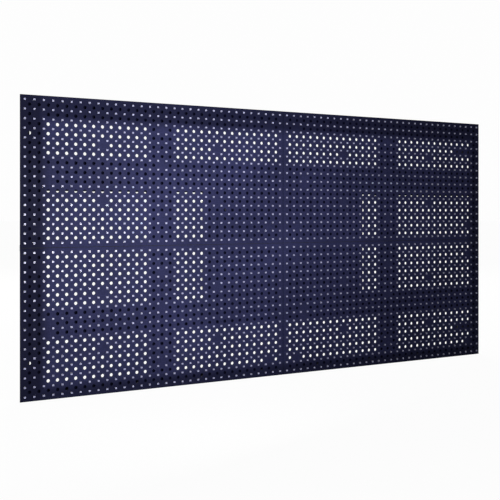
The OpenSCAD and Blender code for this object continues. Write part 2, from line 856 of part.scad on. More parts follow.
box_z = [plate_z[0] + sheet_t + box_play, plate_z[1] - sheet_t - box_play];
box_mid = (box_z[0] + box_z[1]) / 2;
y_tray = y_back + box_standoff;
y_floor = y_tray + box_t;
y_rear = y_tray + box_d;
y_door = y_rear + gasket_gap + gasket_t;
y_rim = y_door - rim_depth;
box_feet = [for (x = [box_x[0] + foot_inset, box_x[1] - foot_inset])
    for (z = [box_z[0] + foot_rise, box_z[1] - foot_rise]) [x, z]];
socket_y = y_tray + box_d / 2;
socket_z = [for (k = [-1.5 : 1.5]) box_mid - 12 + k * bulkhead_span];
button_z = box_z[1] - 18;

module box_tray() {
    inner_x = [box_x[0] + box_t, box_x[1] - box_t];
    inner_z = [box_z[0] + box_t, box_z[1] - box_t];
    color("dimgray")
        difference() {
            slab(box_x, [y_tray, y_rear], box_z);
            slab(inner_x, [y_floor, y_rear - box_t], inner_z);
            slab([box_x[0] + box_lip, box_x[1] - box_lip], [y_floor, y_rear + 1],
                 [box_z[0] + box_lip, box_z[1] - box_lip]);
            for (z = socket_z)
                rod_x([box_x[1] - box_t - 1, box_x[1] + 1], socket_y, z, barrel_d - 2);
            rod_x([box_x[1] - box_t - 1, box_x[1] + 1], socket_y, button_z, ring_d - 3);
            for (x = upper_gates)
                slab([x - gate_w / 2, x + gate_w / 2], y_gate, [box_z[1] - box_t - 1, box_z[1] + 1]);
            slab([lower_gate - gate_w / 2, lower_gate + gate_w / 2], y_gate,
                 [box_z[0] - 1, box_z[0] + box_t + 1]);
            for (p = box_feet)
                rod_y(p[0], [y_tray - 1, y_floor + 1], p[1], screw_d + 2 * screw_play);
        }
}

// Spacers and screws that hold the box off the centre plate
module box_standoffs() {
    color("silver")
        for (p = box_feet)
            translate([p[0], 0, p[1]]) {
                difference() {
                    rod_y(0, [y_back, y_tray], 0, stud_d + 2);
                    rod_y(0, [y_back - 1, y_tray + 1], 0, screw_d);
                }
                rod_y(0, [y_face, y_floor], 0, screw_d);
                rod_y(0, [y_floor, y_floor + screw_head_h], 0, screw_head_d);
            }
}

door_x = [box_x[0] - rim_play - box_t, box_x[1] + rim_play + box_t];
door_z = [box_z[0] - rim_play - box_t, box_z[1] + rim_play + box_t];
latch_x = box_x[1] - latch_inset;
latch_z = [box_mid - latch_span / 2, box_mid + latch_span / 2];

module box_door() {
    color("dimgray")
        difference() {
            slab(door_x, [y_rim, y_door + box_t], door_z);
            slab([door_x[0] + box_t, door_x[1] - box_t], [y_rim - 1, y_door],
                 [door_z[0] + box_t, door_z[1] - box_t]);
            for (z = latch_z)
                rod_y(latch_x, [y_door - 1, y_door + box_t + 1], z, latch_d + 2 * latch_play);
        }
}

module door_gasket() {
    edge = (box_lip - gasket_w) / 2;
    color("black")
        difference() {
            slab([box_x[0] + edge, box_x[1] - edge], [y_door - gasket_t, y_door],
                 [box_z[0] + edge, box_z[1] - edge]);
            slab(
                [box_x[0] + edge + gasket_w, box_x[1] - edge - gasket_w],
                [y_door - gasket_t - 1, y_door + 1],
                [box_z[0] + edge + gasket_w, box_z[1] - edge - gasket_w]
            );
        }
}

knuckle_r = pin_r + pin_play + knuckle_wall;
hinge_x = door_x[0] - knuckle_r - 0.4;
hinge_y = y_rim;
hinge_z = [box_mid - hinge_span / 2, box_mid + hinge_span / 2];
knuckle_gap = 0.4;
third = hinge_l / 3;

// Leaves on the box carry the two outer knuckles of each hinge
module hinge_box_leaves() {
    color("silver")
        for (z = hinge_z)
            difference() {
                union() {
                    slab([box_x[0] - leaf_t, box_x[0]], [hinge_y - leaf_w, hinge_y - knuckle_r + leaf_t],
                         [z - hinge_l / 2, z + hinge_l / 2]);
                    for (low = [z - hinge_l / 2, z + hinge_l / 2 - third + knuckle_gap]) {
                        slab([hinge_x, box_x[0]], [hinge_y - knuckle_r, hinge_y - knuckle_r + leaf_t],
                             [low, low + third - knuckle_gap]);
                        rod_z(hinge_x, hinge_y, [low, low + third - knuckle_gap], 2 * knuckle_r);
                    }
                }
                rod_z(hinge_x, hinge_y, [z - hinge_l, z + hinge_l], 2 * pin_r);
            }
}

// Leaves on the door's rim carry the middle knuckles
module hinge_door_leaves() {
    color("silver")
        for (z = hinge_z)
            difference() {
                union() {
                    slab([door_x[0] - leaf_t, door_x[0]], [hinge_y, y_door + box_t],
                         [z - third / 2 + knuckle_gap, z + third / 2 - knuckle_gap]);
                    rod_z(hinge_x, hinge_y, [z - third / 2 + knuckle_gap, z + third / 2 - knuckle_gap],
                          2 * knuckle_r);
                }
                rod_z(hinge_x, hinge_y, [z - third, z + third], 2 * (pin_r + pin_play));
            }
}

module hinge_pins() {
    color("silver")
        for (z = hinge_z) {
            rod_z(hinge_x, hinge_y, [z - hinge_l / 2, z + hinge_l / 2], 2 * pin_r);
            for (end = [z - hinge_l / 2 - 1, z + hinge_l / 2])
                rod_z(hinge_x, hinge_y, [end, end + 1], 2 * pin_r + 1.6);
        }
}

module latch_bezels() {
    color("silver")
        for (z = latch_z)
            difference() {
                rod_y(latch_x, [y_door + box_t, y_door + box_t + bezel_h], z, bezel_d);
                rod_y(latch_x, [y_door, y_door + box_t + bezel_h + 1], z, latch_d + 2 * latch_play);
            }
}

// Barrel with a key slot outside and a cam inside, drawn unlocked with the cam pointing up
module latch(z) {
    y_cam = y_rear - box_t - 0.6 - cam_t;
    color("silver")
        translate([latch_x, 0, z])
            difference() {
                union() {
                    rod_y(0, [y_cam + cam_t, y_door + box_t + bezel_h - 0.5], 0, latch_d);
                    slab([-cam_w / 2, cam_w / 2], [y_cam, y_cam + cam_t], [-cam_w / 2, cam_l]);
                }
                slab([-1, 1], [y_door + box_t, y_door + box_t + bezel_h + 1], [-latch_d / 3, latch_d / 3]);
            }
}

module latch_upper() latch(latch_z[1]);
module latch_lower() latch(latch_z[0]);

// ---------------------------------------------------------------- inside the box

psu_z = [box_z[0] + box_t + side_room, box_z[0] + box_t + side_room + psu_h];
hub_z = [box_z[1] - box_t - 14 - hub_h, box_z[1] - box_t - 14];
card_z = [box_mid - card_h / 2, box_mid + card_h / 2];
y_card = y_floor + card_lift;
y_supply = y_floor + psu_foot;
y_term = y_supply + 16;
psu_foot_d = 8;
vent_step = 8;
vent_w = 3.5;
vent_edge = 9;
psu_foot_inset = 36;
terminals = 9;
terminal_step = terminal_l / terminals;
term_x = [psu_x[1] - 16, psu_x[1]];
term_z = [psu_z[0] + 5, psu_z[0] + 5 + terminal_l];

// Sheet case with vent slots and an open end for the terminals
module power_supply_case() {
    y = [y_supply, y_supply + psu_d];
    color("lightgray") {
        for (x = [psu_x[0] + psu_foot_inset, psu_x[1] - psu_foot_inset])
            for (z = [psu_z[0] + psu_foot_d, psu_z[1] - psu_foot_d])
                rod_y(x, [y_floor, y_supply], z, psu_foot_d);
        difference() {
            slab(psu_x, y, psu_z);
            slab([term_x[0], psu_x[1] - psu_t], [y[0] + psu_t, y[1] + 1], [term_z[0] - 1, term_z[1] + 1]);
            slab(
                [psu_x[1] - psu_t - 1, psu_x[1] + 1],
                [y[0] + 14, y[1] + 1],
                [term_z[0] - 1, term_z[1] + 1]
            );
            for (x = [psu_x[0] + 2 * vent_step : vent_step : term_x[0] - 2 * vent_step])
                for (z = [psu_z[0], psu_z[0] + psu_h / 2])
                    slab([x, x + vent_w], [y[1] - psu_t, y[1] + 1],
                         [z + vent_edge, z + psu_h / 2 - vent_edge]);
        }
    }
}

module power_supply_terminals() {
    y = y_supply + psu_t;
    color("black")
        translate([0, 0, term_z[0]]) {
            slab([term_x[0] + 0.2, psu_x[1] - psu_t - 0.2], [y, y + 9], [0, terminal_l]);
            for (k = [0 : terminals])
                slab([term_x[0] + 0.2, psu_x[1] - psu_t - 0.2], [y + 9, y + 16],
                     [k * terminal_step - k / terminals, k * terminal_step - k / terminals + 1]);
            for (k = [0 : terminals - 1])
                rod_y((term_x[0] + psu_x[1]) / 2, [y + 9, y + 11.5], (k + 0.5) * terminal_step, 5.5);
        }
}

module control_card() {
    color("darkgreen") slab(card_x, [y_card, y_card + card_t], card_z);
}

module hub_card() {
    color("darkgreen") slab(hub_x, [y_card, y_card + card_t], hub_z);
}

hub_plug_inset = 9;
hub_plug_step = 32;
hub_plug_z = hub_z[1] - hub_plug_inset;
hub_low_z = hub_z[0] + hub_plug_inset + 1;
hub_low_x = hub_x[1] - 22;
hub_plugs = [[upper_gates[0], hub_plug_z], [upper_gates[1], hub_plug_z],
             [hub_low_x, hub_low_z], [hub_low_x - hub_plug_step, hub_low_z]];
strip_z = [hub_z[0] + 20, hub_z[0] + 32];
jack_w = 16;
jack_l = 18;
jack_h = 13;
jack_step = 22;
cpu_w = 26;
cpu_h = 2.2;
memory_l = 14;
memory_w = 10;
memory_h = 1.4;
memory_step = 16;
coil_w = 24;
coil_l = 26;
coil_h = 9;
can_d = 7;
can_h = 10;
can_step = 9;
card_edge = 2;

// Ribbon sockets and power strips on the hub card; network jacks, processor, memory, transformer
// and capacitors on the control card
module card_parts() {
    y = y_card + card_t;
    x = card_x[0];
    z = card_z[0];
    color("black") {
        for (p = hub_plugs)
            translate([p[0], y, p[1]]) rotate([0, 90, 0]) socket(header_w, header_l, header_h, []);
        for (k = strips)
            slab([k, k + strip_l], [y, y + strip_h], strip_z);
        for (k = [0, 1])
            translate([card_x[1] - card_edge - jack_w, y, z + 14 + k * jack_step])
                cube([jack_w, jack_h, jack_l]);
        translate([x + 14, y, z + 56]) cube([cpu_w, cpu_h, cpu_w]);
        for (k = [0 : 2])
            translate([card_x[1] - 20, y, z + 60 + k * memory_step]) cube([memory_l, memory_h, memory_w]);
        translate([x + 10, y, z + 100]) cube([coil_w, coil_h, coil_l]);
        for (k = [0 : 2])
            rod_y(card_x[1] - 22 + k * can_step, [y, y + can_h], card_z[1] - 12, can_d);
    }
}

card_posts = concat(
    [for (x = [card_x[0] + 5, card_x[1] - 5]) for (z = [card_z[0] + 5, card_z[1] - 5]) [x, z]],
    [for (x = [hub_x[0] + 4, hub_x[1] - 4]) for (z = [hub_z[0] + 4, hub_z[1] - 4]) [x, z]]
);

module card_pillars() {
    color("silver")
        for (p = card_posts) {
            rod_y(p[0], [y_floor, y_card], p[1], pillar_d);
            rod_y(p[0], [y_card + card_t, y_card + card_t + 2], p[1], pillar_d);
        }
}

// Power inlet, power outlet, data inlet and data outlet, top to bottom
module box_sockets() {
    x = box_x[1];
    color("black")
        for (z = socket_z)
            difference() {
                union() {
                    slab([x, x + bulkhead_t], [socket_y - bulkhead_w / 2, socket_y + bulkhead_w / 2],
                         [z - bulkhead_w / 2, z + bulkhead_w / 2]);
                    rod_x([x, x + barrel_l], socket_y, z, barrel_d);
                    rod_x([x - 9, x], socket_y, z, barrel_d - 2.2);
                }
                rod_x([x + barrel_l - barrel_bore_l, x + barrel_l + 1], socket_y, z, barrel_bore_d);
            }
}

module test_button_ring() {
    x = box_x[1];
    color("silver")
        difference() {
            union() {
                rod_x([x, x + 2], socket_y, button_z, ring_d);
                rod_x([x - 10, x], socket_y, button_z, ring_d - 3.2);
            }
            rod_x([x - 8, x + 3], socket_y, button_z, button_d + 2 * button_play);
        }
}

module test_button() {
    x = box_x[1];
    color("red") rod_x([x - 8 + button_travel + 0.5, x + 2 + button_h], socket_y, button_z, button_d);
}

// ---------------------------------------------------------------- wiring

y_ribbon = y_board + header_h + plug_h;
y_hub_top = y_card + card_t + header_h + plug_h;
y_lead = y_ribbon + ribbon_t + lead_d;
y_over = y_card + card_t + 15;
y_strip = y_card + card_t + strip_h + lead_d / 2 + 0.3;
z_rise = hub_z[1] + 5;
z_turn = hub_z[0] - 10;

// Flat cables from every data socket, along the ducts and through the gates to the hub card
module ribbon_cables() {
    h = ribbon_w / 2;
    color("gray")
        for (k = [0, 1]) {
            x = board_centres[k][0] + data_cell[0] * pitch;
            z_up = board_centres[0][1] + data_cell[1] * pitch;
            z_low = board_centres[2][1] + data_cell[1] * pitch;
            gate = upper_gates[k];
            y = [y_ribbon, y_ribbon + ribbon_t];
            slab([min(x, gate) - h, max(x, gate) + h], y, [z_up - h, z_up + h]);
            slab([gate - h, gate + h], y, [z_rise, z_up - h]);
            slab([gate - h, gate + h], [y[1], y_hub_top], [z_rise, z_rise + ribbon_t]);
            slab(
                [gate - h, gate + h],
                [y_hub_top, y_hub_top + ribbon_t],
                [hub_plugs[k][1] - 4, z_rise + ribbon_t]
            );

            low = [y[0] + k * (ribbon_t + 0.3), y[1] + k * (ribbon_t + 0.3)];
            plug = hub_plugs[k + 2];
            slab([x - h, x + h], [y[0], low[1]], [z_low - h, z_low + h]);
            slab([min(x, lower_gate) - h, max(x, lower_gate) + h], low, [z_low - h, z_low + h]);
            slab([lower_gate - h, lower_gate + h], low, [z_low + h, z_turn]);
            slab([plug[0] - h, lower_gate + h], low, [z_turn - ribbon_w, z_turn]);
            slab([plug[0] - h, plug[0] + h], [low[1], y_hub_top], [z_turn - ribbon_t, z_turn]);
            slab(
                [plug[0] - h, plug[0] + h],
                [y_hub_top, y_hub_top + ribbon_t],
                [z_turn - ribbon_t, plug[1] + 4]
            );
        }
}

module ribbon_plugs() {
    color("black") {
        for (c = board_centres)
            translate([c[0] + data_cell[0] * pitch, y_board + header_h, c[1] + data_cell[1] * pitch])
                slab([-header_w / 2, header_w / 2], [0, plug_h], [2 - header_l / 2, header_l / 2 - 2]);
        for (p = hub_plugs)
            translate([p[0], y_card + card_t + header_h, p[1]])
                slab([2 - header_l / 2, header_l / 2 - 2], [0, plug_h], [-header_w / 2, header_w / 2]);
    }
}

module power_plugs() {
    color("ivory")
        for (c = board_centres)
            translate([c[0] + power_cell[0] * pitch, y_board + socket_h, c[1] + power_cell[1] * pitch])
                slab(
                    [0.5 - socket_w / 2, socket_w / 2 - 0.5],
                    [0, plug_h],
                    [0.5 - socket_l / 2, socket_l / 2 - 0.5]
                );
}

// A lead laid straight from point to point
module wire(points) {
    for (k = [0 : len(points) - 2])
        hull() {
            translate(points[k]) sphere(d = lead_d, $fn = 6);
            translate(points[k + 1]) sphere(d = lead_d, $fn = 6);
        }
}

// One lead from each power plug to the strips of the hub card, and one from the power supply;
// side is 1 for + and -1 for -, and the two stay beside each other without crossing
module leads(side) {
    o = side * lead_pair / 2;
    for (k = [0, 1]) {
        x = board_centres[k][0] + side * socket_w / 4;
        z_up = board_centres[0][1] + power_cell[1] * pitch;
        z_low = board_centres[2][1] + power_cell[1] * pitch;
        run = k == 0 ? o : -o;
        z_run = z_duct_upper[0] + lead_inset + run;
        z_run_low = z_duct_lower[0] + lead_inset + run;
        gate = upper_gates[k] + ribbon_w / 2 + 7 + o;
        wire([
            [x, y_lead, z_up], [x, y_lead, z_run], [gate, y_lead, z_run], [gate, y_lead, z_rise + 5],
            [gate, y_over, z_rise + 5], [gate, y_over, hub_z[0] + 36], [gate, y_strip, hub_z[0] + 30]
        ]);
        gate_low = lower_gate + ribbon_w / 2 + 4.5 - o;
        strip = strips[0] + 4 + o + k * 8;
        y_k = y_lead + k * (lead_d + 0.4);
        z_k = z_turn + 4 - o;
        wire([
            [x, y_k, z_low], [x, y_k, z_run_low], [gate_low, y_k, z_run_low], [gate_low, y_k, z_k],
            [strip, y_k, z_k], [strip, y_over, z_k], [strip, y_over, hub_z[0] + 18],
            [strip, y_strip, hub_z[0] + 24]
        ]);
    }
    x = psu_x[1] + 8 - o;
    z = term_z[0] + (6.5 + side) * terminal_step;
    z_strip = hub_z[0] + 26 - o;
    wire([
        [term_x[0] + 8, y_term, z], [x, y_term + 2, z], [x, y_over, z + 4], [x, y_over, z_strip],
        [strips[1] + 28, y_over, z_strip], [strips[1] + 26, y_strip, z_strip]
    ]);
}

module positive_leads() color("red") leads(1);
module negative_leads() color("black") leads(-1);

// From the power inlet over the control card to the power supply's terminals
module mains_leads() {
    y = y_over + lead_d + 1;
    color("saddlebrown")
        for (k = [-1 : 1]) {
            x = psu_x[1] + 11.5 - 4 * k;
            z = socket_z[3] + 4 * k;
            z_end = term_z[0] + (2.5 + k) * terminal_step;
            wire([
                [box_x[1] - 11, socket_y, z], [box_x[1] - 16, y, z], [x, y, z], [x, y, z_end],
                [term_x[0] + 8, y_term, z_end]
            ]);
        }
}

// ---------------------------------------------------------------- side bolts

// Cast blocks behind the right rail that guide the side bolts
module bolt_cases() {
    x = [x_right - sheet_t - case_l, x_right - sheet_t];
    slot_w = arm_d + 2 * arm_play;
    arm_x = x_right - arm_offset;
    color("gray")
        for (z = [z_bolt_upper, z_bolt_lower])
            difference() {
                slab(x, [y_back, y_back + case_d], [z - case_h / 2, z + case_h / 2]);
                rod_x([x[0] - 1, x[1] + 1], y_sbolt, z, sbolt_d + 2 * sbolt_play);
                translate([0, y_sbolt, z]) rotate([45, 0, 0])
                    slab([arm_x - slot_w / 2, arm_x + sbolt_travel + slot_w / 2], [0, case_d * 2],
                         [-slot_w / 2, slot_w / 2]);
            }
}

// Drawn withdrawn, its tip just inside the rail's outer face
module side_bolt(z) {
    tip = x_right - 0.5;
    chamfer = 1.5;
    shoulder = tip - sbolt_shown + chamfer;
    arm_x = x_right - arm_offset;
    color("silver") {
        rod_x([tip - sbolt_l, shoulder], y_sbolt, z, sbolt_d);
        rod_x([shoulder, tip - chamfer], y_sbolt, z, nose_d);
        translate([tip - chamfer, y_sbolt, z]) rotate([0, 90, 0])
            cylinder(d1 = nose_d, d2 = nose_d - 2, h = chamfer);
        translate([arm_x, y_sbolt, z]) rotate([-45, 0, 0]) {
            cylinder(d = arm_d, h = knob_reach);
            translate([0, 0, knob_reach - knob_d / 2]) cylinder(d = knob_d, h = knob_d * 0.8);
        }
    }
}

// The upper bolt is drawn partly shot, the lower one withdrawn
module side_bolt_upper() translate([sbolt_shown, 0, 0]) side_bolt(z_bolt_upper);
module side_bolt_lower() side_bolt(z_bolt_lower);

module keeper_blocks() {
    x = x_left + sheet_t;
    color("gray")
        for (z = [z_bolt_upper, z_bolt_lower])
            difference() {
                slab([x, x + keeper_l], [y_back, y_back + case_d], [z - case_h / 2, z + case_h / 2]);
                rod_x([x - 1, x + keeper_l + 1], y_sbolt, z, sbolt_d + 2 * keeper_play);
            }
}

led_board(board_centres[0]);  // led_board_top_left
led_board(board_centres[1]);  // led_board_top_right
led_board(board_centres[2]);  // led_board_bottom_left
led_board(board_centres[3]);  // led_board_bottom_right
leds(board_centres[0]);  // leds_top_left
leds(board_centres[1]);  // leds_top_right
leds(board_centres[2]);  // leds_bottom_left
leds(board_centres[3]);  // leds_bottom_right
driver_chips();
data_sockets();
module_power_sockets();
fixing_studs();
service_pillars();
seam_strips();
module_screws();
left_rail();
right_rail();
top_rail();
bottom_rail();
uprights(z_duct_upper[1], z_top_in);  // uprights_top
uprights(z_duct_lower[1], z_duct_upper[0]);  // uprights_middle
uprights(z_bottom_in, z_duct_lower[0]);  // uprights_bottom
duct(upper_duct_rows);  // upper_duct
duct(lower_duct_rows);  // lower_duct
duct_covers();
centre_plate();
joint_plates();
cleats();
frame_rivets();
mounting_nuts();
box_tray();
box_standoffs();
box_door();
door_gasket();
hinge_box_leaves();
hinge_door_leaves();
hinge_pins();
latch_bezels();
latch_upper();
latch_lower();
power_supply_case();
power_supply_terminals();
control_card();
card_parts();
hub_card();
card_pillars();
box_sockets();
test_button_ring();
test_button();
ribbon_cables();
ribbon_plugs();
positive_leads();
negative_leads();
mains_leads();
power_plugs();
bolt_cases();
side_bolt_upper();
side_bolt_lower();
keeper_blocks();
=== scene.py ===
"""Dresses the CAD frame of a see-through LED display cabinet: light packages, board electronics,
sheetwork finishes, wiring, the control box and its fittings, then the stage, lamps and camera.

Lengths are millimetres, and Shell.piece makes metres of them. The box of the whole object, the
user's lengths, the stage and Object coordinates are metres."""
import math

import bpy
import numpy as np
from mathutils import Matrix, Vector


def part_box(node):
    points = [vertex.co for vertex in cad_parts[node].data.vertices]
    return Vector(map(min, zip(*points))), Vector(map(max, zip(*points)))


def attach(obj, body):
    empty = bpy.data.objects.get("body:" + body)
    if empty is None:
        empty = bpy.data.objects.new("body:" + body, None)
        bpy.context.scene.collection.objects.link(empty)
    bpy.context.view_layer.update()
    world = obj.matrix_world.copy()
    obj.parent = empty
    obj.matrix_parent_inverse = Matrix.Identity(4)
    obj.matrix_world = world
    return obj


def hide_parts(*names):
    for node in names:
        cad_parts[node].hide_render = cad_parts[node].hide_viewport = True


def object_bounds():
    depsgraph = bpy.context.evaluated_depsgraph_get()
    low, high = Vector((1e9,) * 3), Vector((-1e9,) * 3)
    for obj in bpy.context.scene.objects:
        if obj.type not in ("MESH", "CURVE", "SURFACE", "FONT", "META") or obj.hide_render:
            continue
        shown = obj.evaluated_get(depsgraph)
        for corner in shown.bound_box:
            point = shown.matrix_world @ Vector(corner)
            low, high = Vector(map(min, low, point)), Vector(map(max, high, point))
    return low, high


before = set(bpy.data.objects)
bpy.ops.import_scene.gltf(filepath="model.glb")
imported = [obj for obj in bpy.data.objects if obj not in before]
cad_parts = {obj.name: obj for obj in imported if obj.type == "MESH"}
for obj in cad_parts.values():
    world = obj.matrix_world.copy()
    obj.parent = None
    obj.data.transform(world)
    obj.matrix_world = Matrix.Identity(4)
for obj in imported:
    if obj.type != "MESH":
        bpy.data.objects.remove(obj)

bl_info = {
    "name": "See-through LED display cabinet",
    "version": (1, 0, 0),
    "blender": (4, 5, 0),
    "location": "View3D > Sidebar > Display",
    "description": "Light packages, electronics, sheetwork and wiring of a perforated LED display cabinet",
    "category": "Object",
}

MM = 0.001


# ---------------------------------------------------------------- places read from the frame

def corners(node):
    """Lowest and highest corner of a CAD node."""
    return np.array(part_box(node)) / MM


CAD_BOX = [list(corner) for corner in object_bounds()]
QUARTERS = ("top_left", "top_right", "bottom_left", "bottom_right")
BOARD_CENTRES = {quarter: corners("led_board_" + quarter).mean(axis=0) for quarter in QUARTERS}
BOARD_COLUMNS, BOARD_ROWS = 32, 16
PITCH = (BOARD_CENTRES["top_right"][0] - BOARD_CENTRES["top_left"][0]) / BOARD_COLUMNS
Y_FRONT, Y_BOARD = corners("led_board_top_left")[:, 1]
Y_FACE = corners("left_rail")[0][1]
SHEET = 2
Y_BACK = Y_FACE + SHEET
TRAY = corners("box_tray")
DOOR = corners("box_door")
BOX_SHEET = 1.5
Y_FLOOR = TRAY[0][1] + BOX_SHEET
HUB = corners("hub_card")
CARD = corners("control_card")
Y_CARD_TOP = CARD[1][1]
CARD_THICKNESS = 1.6
SUPPLY = corners("power_supply_case")
SUPPLY_FOOT = 3
TERMINALS = corners("power_supply_terminals")
TERMINAL_COUNT = 9
TERMINAL_STEP = (TERMINALS[1][2] - TERMINALS[0][2]) / TERMINAL_COUNT
UPPER_DUCT = corners("upper_duct")
LOWER_DUCT = corners("lower_duct")
PLATE = corners("centre_plate")

# Gates through the ducts' walls into the box, and the power strips on the hub card
GATE_INSET, STRIP_INSET = 48, 42
UPPER_GATES = (HUB[0][0] + GATE_INSET, HUB[1][0] - GATE_INSET)
LOWER_GATE = (SUPPLY[1][0] + CARD[0][0]) / 2 - 3
STRIP_STARTS = (HUB[0][0] + STRIP_INSET, HUB[1][0] - STRIP_INSET)
HINGE_RISE = 60

# Cells of one board, counted from its centre
STUD_CELLS = ((-14, -6), (14, -6), (-14, 6), (14, 6), (0, -5), (0, 5))
PILLAR_CELLS = ((-7, -3), (7, -3), (-7, 3), (7, 3))
CHIP_COLUMNS = (-13.5, -9.5, -5.5, -3.5, 3.5, 5.5, 9.5, 12.5)
CHIP_ROWS = (-5.5, 1.5, 5.5)
DATA_CELL = (-13, -0.5)
POWER_CELL = (0, 1)

# Heights of the sockets on a board, and the rise of a plug above its socket
DATA_SOCKET, POWER_SOCKET, PLUG = 9, 11, 3
PIN_STEP = 2.54


def on_boards(cells, y):
    """The same cells on all four boards: board centre plus cell times pitch, at height y."""
    cells = np.array(cells, float) * PITCH
    return np.concatenate([
        np.column_stack([centre[0] + cells[:, 0], np.full(len(cells), y), centre[2] + cells[:, 1]])
        for centre in BOARD_CENTRES.values()
    ])


# ---------------------------------------------------------------- shapes as arrays

# Proper rotations that take a shape's own +Z to the named direction
TURNS = {
    "+z": np.array([[1, 0, 0], [0, 1, 0], [0, 0, 1]]),
    "-z": np.array([[1, 0, 0], [0, -1, 0], [0, 0, -1]]),
    "+y": np.array([[1, 0, 0], [0, 0, 1], [0, -1, 0]]),
    "-y": np.array([[1, 0, 0], [0, 0, -1], [0, 1, 0]]),
    "+x": np.array([[0, 0, 1], [1, 0, 0], [0, 1, 0]]),
    "-x": np.array([[0, 0, -1], [-1, 0, 0], [0, 1, 0]]),
}

# Signs of a box's eight corners on each axis
SIGNS = np.array([[(s >> k & 1) * 2 - 1 for k in range(3)] for s in range(8)], float)


def block_faces():
    """Faces of one chamfered box: six sides, twelve edge strips and eight corner triangles.

    Point 3 s + a is corner s moved in along the two axes other than a. Each ring is turned so that
    its normal points away from the centre."""
    sample = SIGNS[:, None] * (1 - 0.2 * (1 - np.eye(3)))
    sample = sample.reshape(-1, 3)
    rings = []
    for a in range(3):
        p, q = (a + 1) % 3, (a + 2) % 3
        for side in (0, 1):
            order = [(0, 0), (1, 0), (1, 1), (0, 1)]
            rings.append([3 * ((side << a) + (u << p) + (v << q)) + a for u, v in order])
        for u in (0, 1):
            for v in (0, 1):
                first = (u << p) + (v << q)
                second = first + (1 << a)
                rings.append([3 * first + p, 3 * second + p, 3 * second + q, 3 * first + q])
    rings += [[3 * s, 3 * s + 1, 3 * s + 2] for s in range(8)]
    quads, triangles = [], []
    for ring in rings:
        centre = sample[ring].mean(axis=0)
        normal = np.cross(sample[ring[1]] - sample[ring[0]], sample[ring[2]] - sample[ring[1]])
        if normal @ centre < 0:
            ring = ring[::-1]
        (quads if len(ring) == 4 else triangles).append(ring)
    return [np.array(quads), np.array(triangles)]


BLOCK_FACES = block_faces()


def slab(half_x, half_y, low, high):
    """Lowest and highest corner of a box that stands on the Z axis."""
    return (-half_x, -half_y, low), (half_x, half_y, high)


def blocks(pairs, chamfer):
    """Chamfered boxes, each between its lowest and its highest corner.

    Every point is the box's centre plus its sign times the half size, less the chamfer along the
    two axes that are not its own."""
    pairs = np.array(pairs, float).reshape(-1, 2, 3)
    centre, half = pairs.mean(axis=1), (pairs[:, 1] - pairs[:, 0]) / 2
    inset = chamfer * (1 - np.eye(3))
    points = centre[:, None, None] + SIGNS[None, :, None] * (half[:, None, None] - inset[None, None])
    start = (np.arange(len(pairs)) * 24)[:, None, None]
    faces = [(start + ring[None]).reshape(-1, ring.shape[1]) for ring in BLOCK_FACES]
    return points.reshape(-1, 3), faces


def skin(rings, first=None, last=None):
    """A skin over closed rings of points: quads join each ring to the next, and a first or last
    point closes that end with a fan of triangles."""
    rings = np.asarray(rings, float)
    count, sides = rings.shape[:2]
    here = np.arange(sides)
    after = (here + 1) % sides
    base = (np.arange(count - 1) * sides)[:, None]
    quads = np.stack([base + here, base + after, base + sides + after, base + sides + here], axis=2)
    points, faces = rings.reshape(-1, 3), [quads.reshape(-1, 4)]
    if first is not None:
        faces.append(np.stack([np.full(sides, len(points)), after, here], axis=1))
        points = np.concatenate([points, [first]])
    if last is not None:
        end = (count - 1) * sides
        faces.append(np.stack([end + here, end + after, np.full(sides, len(points))], axis=1))
        points = np.concatenate([points, [last]])
    return points, faces


def rings_about(radii, heights, sides=24):
    """A ring of points (radius cos t, radius sin t, height) at each height. The radius is one
    number for a ring, or one for each of its points."""
    angle = np.arange(sides) * 2 * math.pi / sides
    radii = np.broadcast_to(radii, (len(heights), sides))
    levels = np.broadcast_to(np.array(heights, float)[:, None], radii.shape)
    return np.stack([radii * np.cos(angle), radii * np.sin(angle), levels], axis=2)


def turned(profile, sides=24):
    """A turned solid about +Z: each (radius, height) of the profile becomes a ring. A radius of
    zero at either end closes it in a point."""
    profile = np.array(profile, float)
    rings = profile[profile[:, 0] > 1e-6]
    tips = [None if radius > 1e-6 else (0, 0, height) for radius, height in (profile[0], profile[-1])]
    return skin(rings_about(rings[:, :1], rings[:, 1], sides), *tips)


def rod(radius, low, high, sides=24):
    """A plain round rod about +Z between two heights."""
    return turned([(0, low), (radius, low), (radius, high), (0, high)], sides)


def rounded_route(stops, cut, steps=7):
    """A route through stops with each corner replaced by the curve
    (1 - t)^2 a + 2 t (1 - t) corner + t^2 b, where a and b lie on the two legs, a cut away."""
    stops = np.array(stops, float)
    legs = np.diff(stops, axis=0)
    length = np.linalg.norm(legs, axis=1)
    along = legs / length[:, None]
    reach = np.minimum(cut, np.minimum(length[:-1], length[1:]) * 0.48)[:, None]
    corner = stops[1:-1]
    before, beyond = corner - along[:-1] * reach, corner + along[1:] * reach
    t = np.linspace(0, 1, steps)[None, :, None]
    curve = (1 - t) ** 2 * before[:, None] + 2 * t * (1 - t) * corner[:, None] + t ** 2 * beyond[:, None]
    return np.concatenate([stops[:1], curve.reshape(-1, 3), stops[-1:]])


def unit(vectors):
    """Each row divided by its length."""
    return vectors / np.linalg.norm(vectors, axis=1)[:, None]


def tangents(route):
    """Unit direction at each point of a route, from its neighbours on both sides."""
    return unit(np.gradient(route, axis=0))


def carried(route, first, second, outline):
    """An outline carried along a route: (u, w) of it lies u along the first direction and w along
    the second, at each point of the route."""
    u, w = np.array(outline, float).T[:, None, :, None]
    return route[:, None] + first[:, None] * u + second[:, None] * w


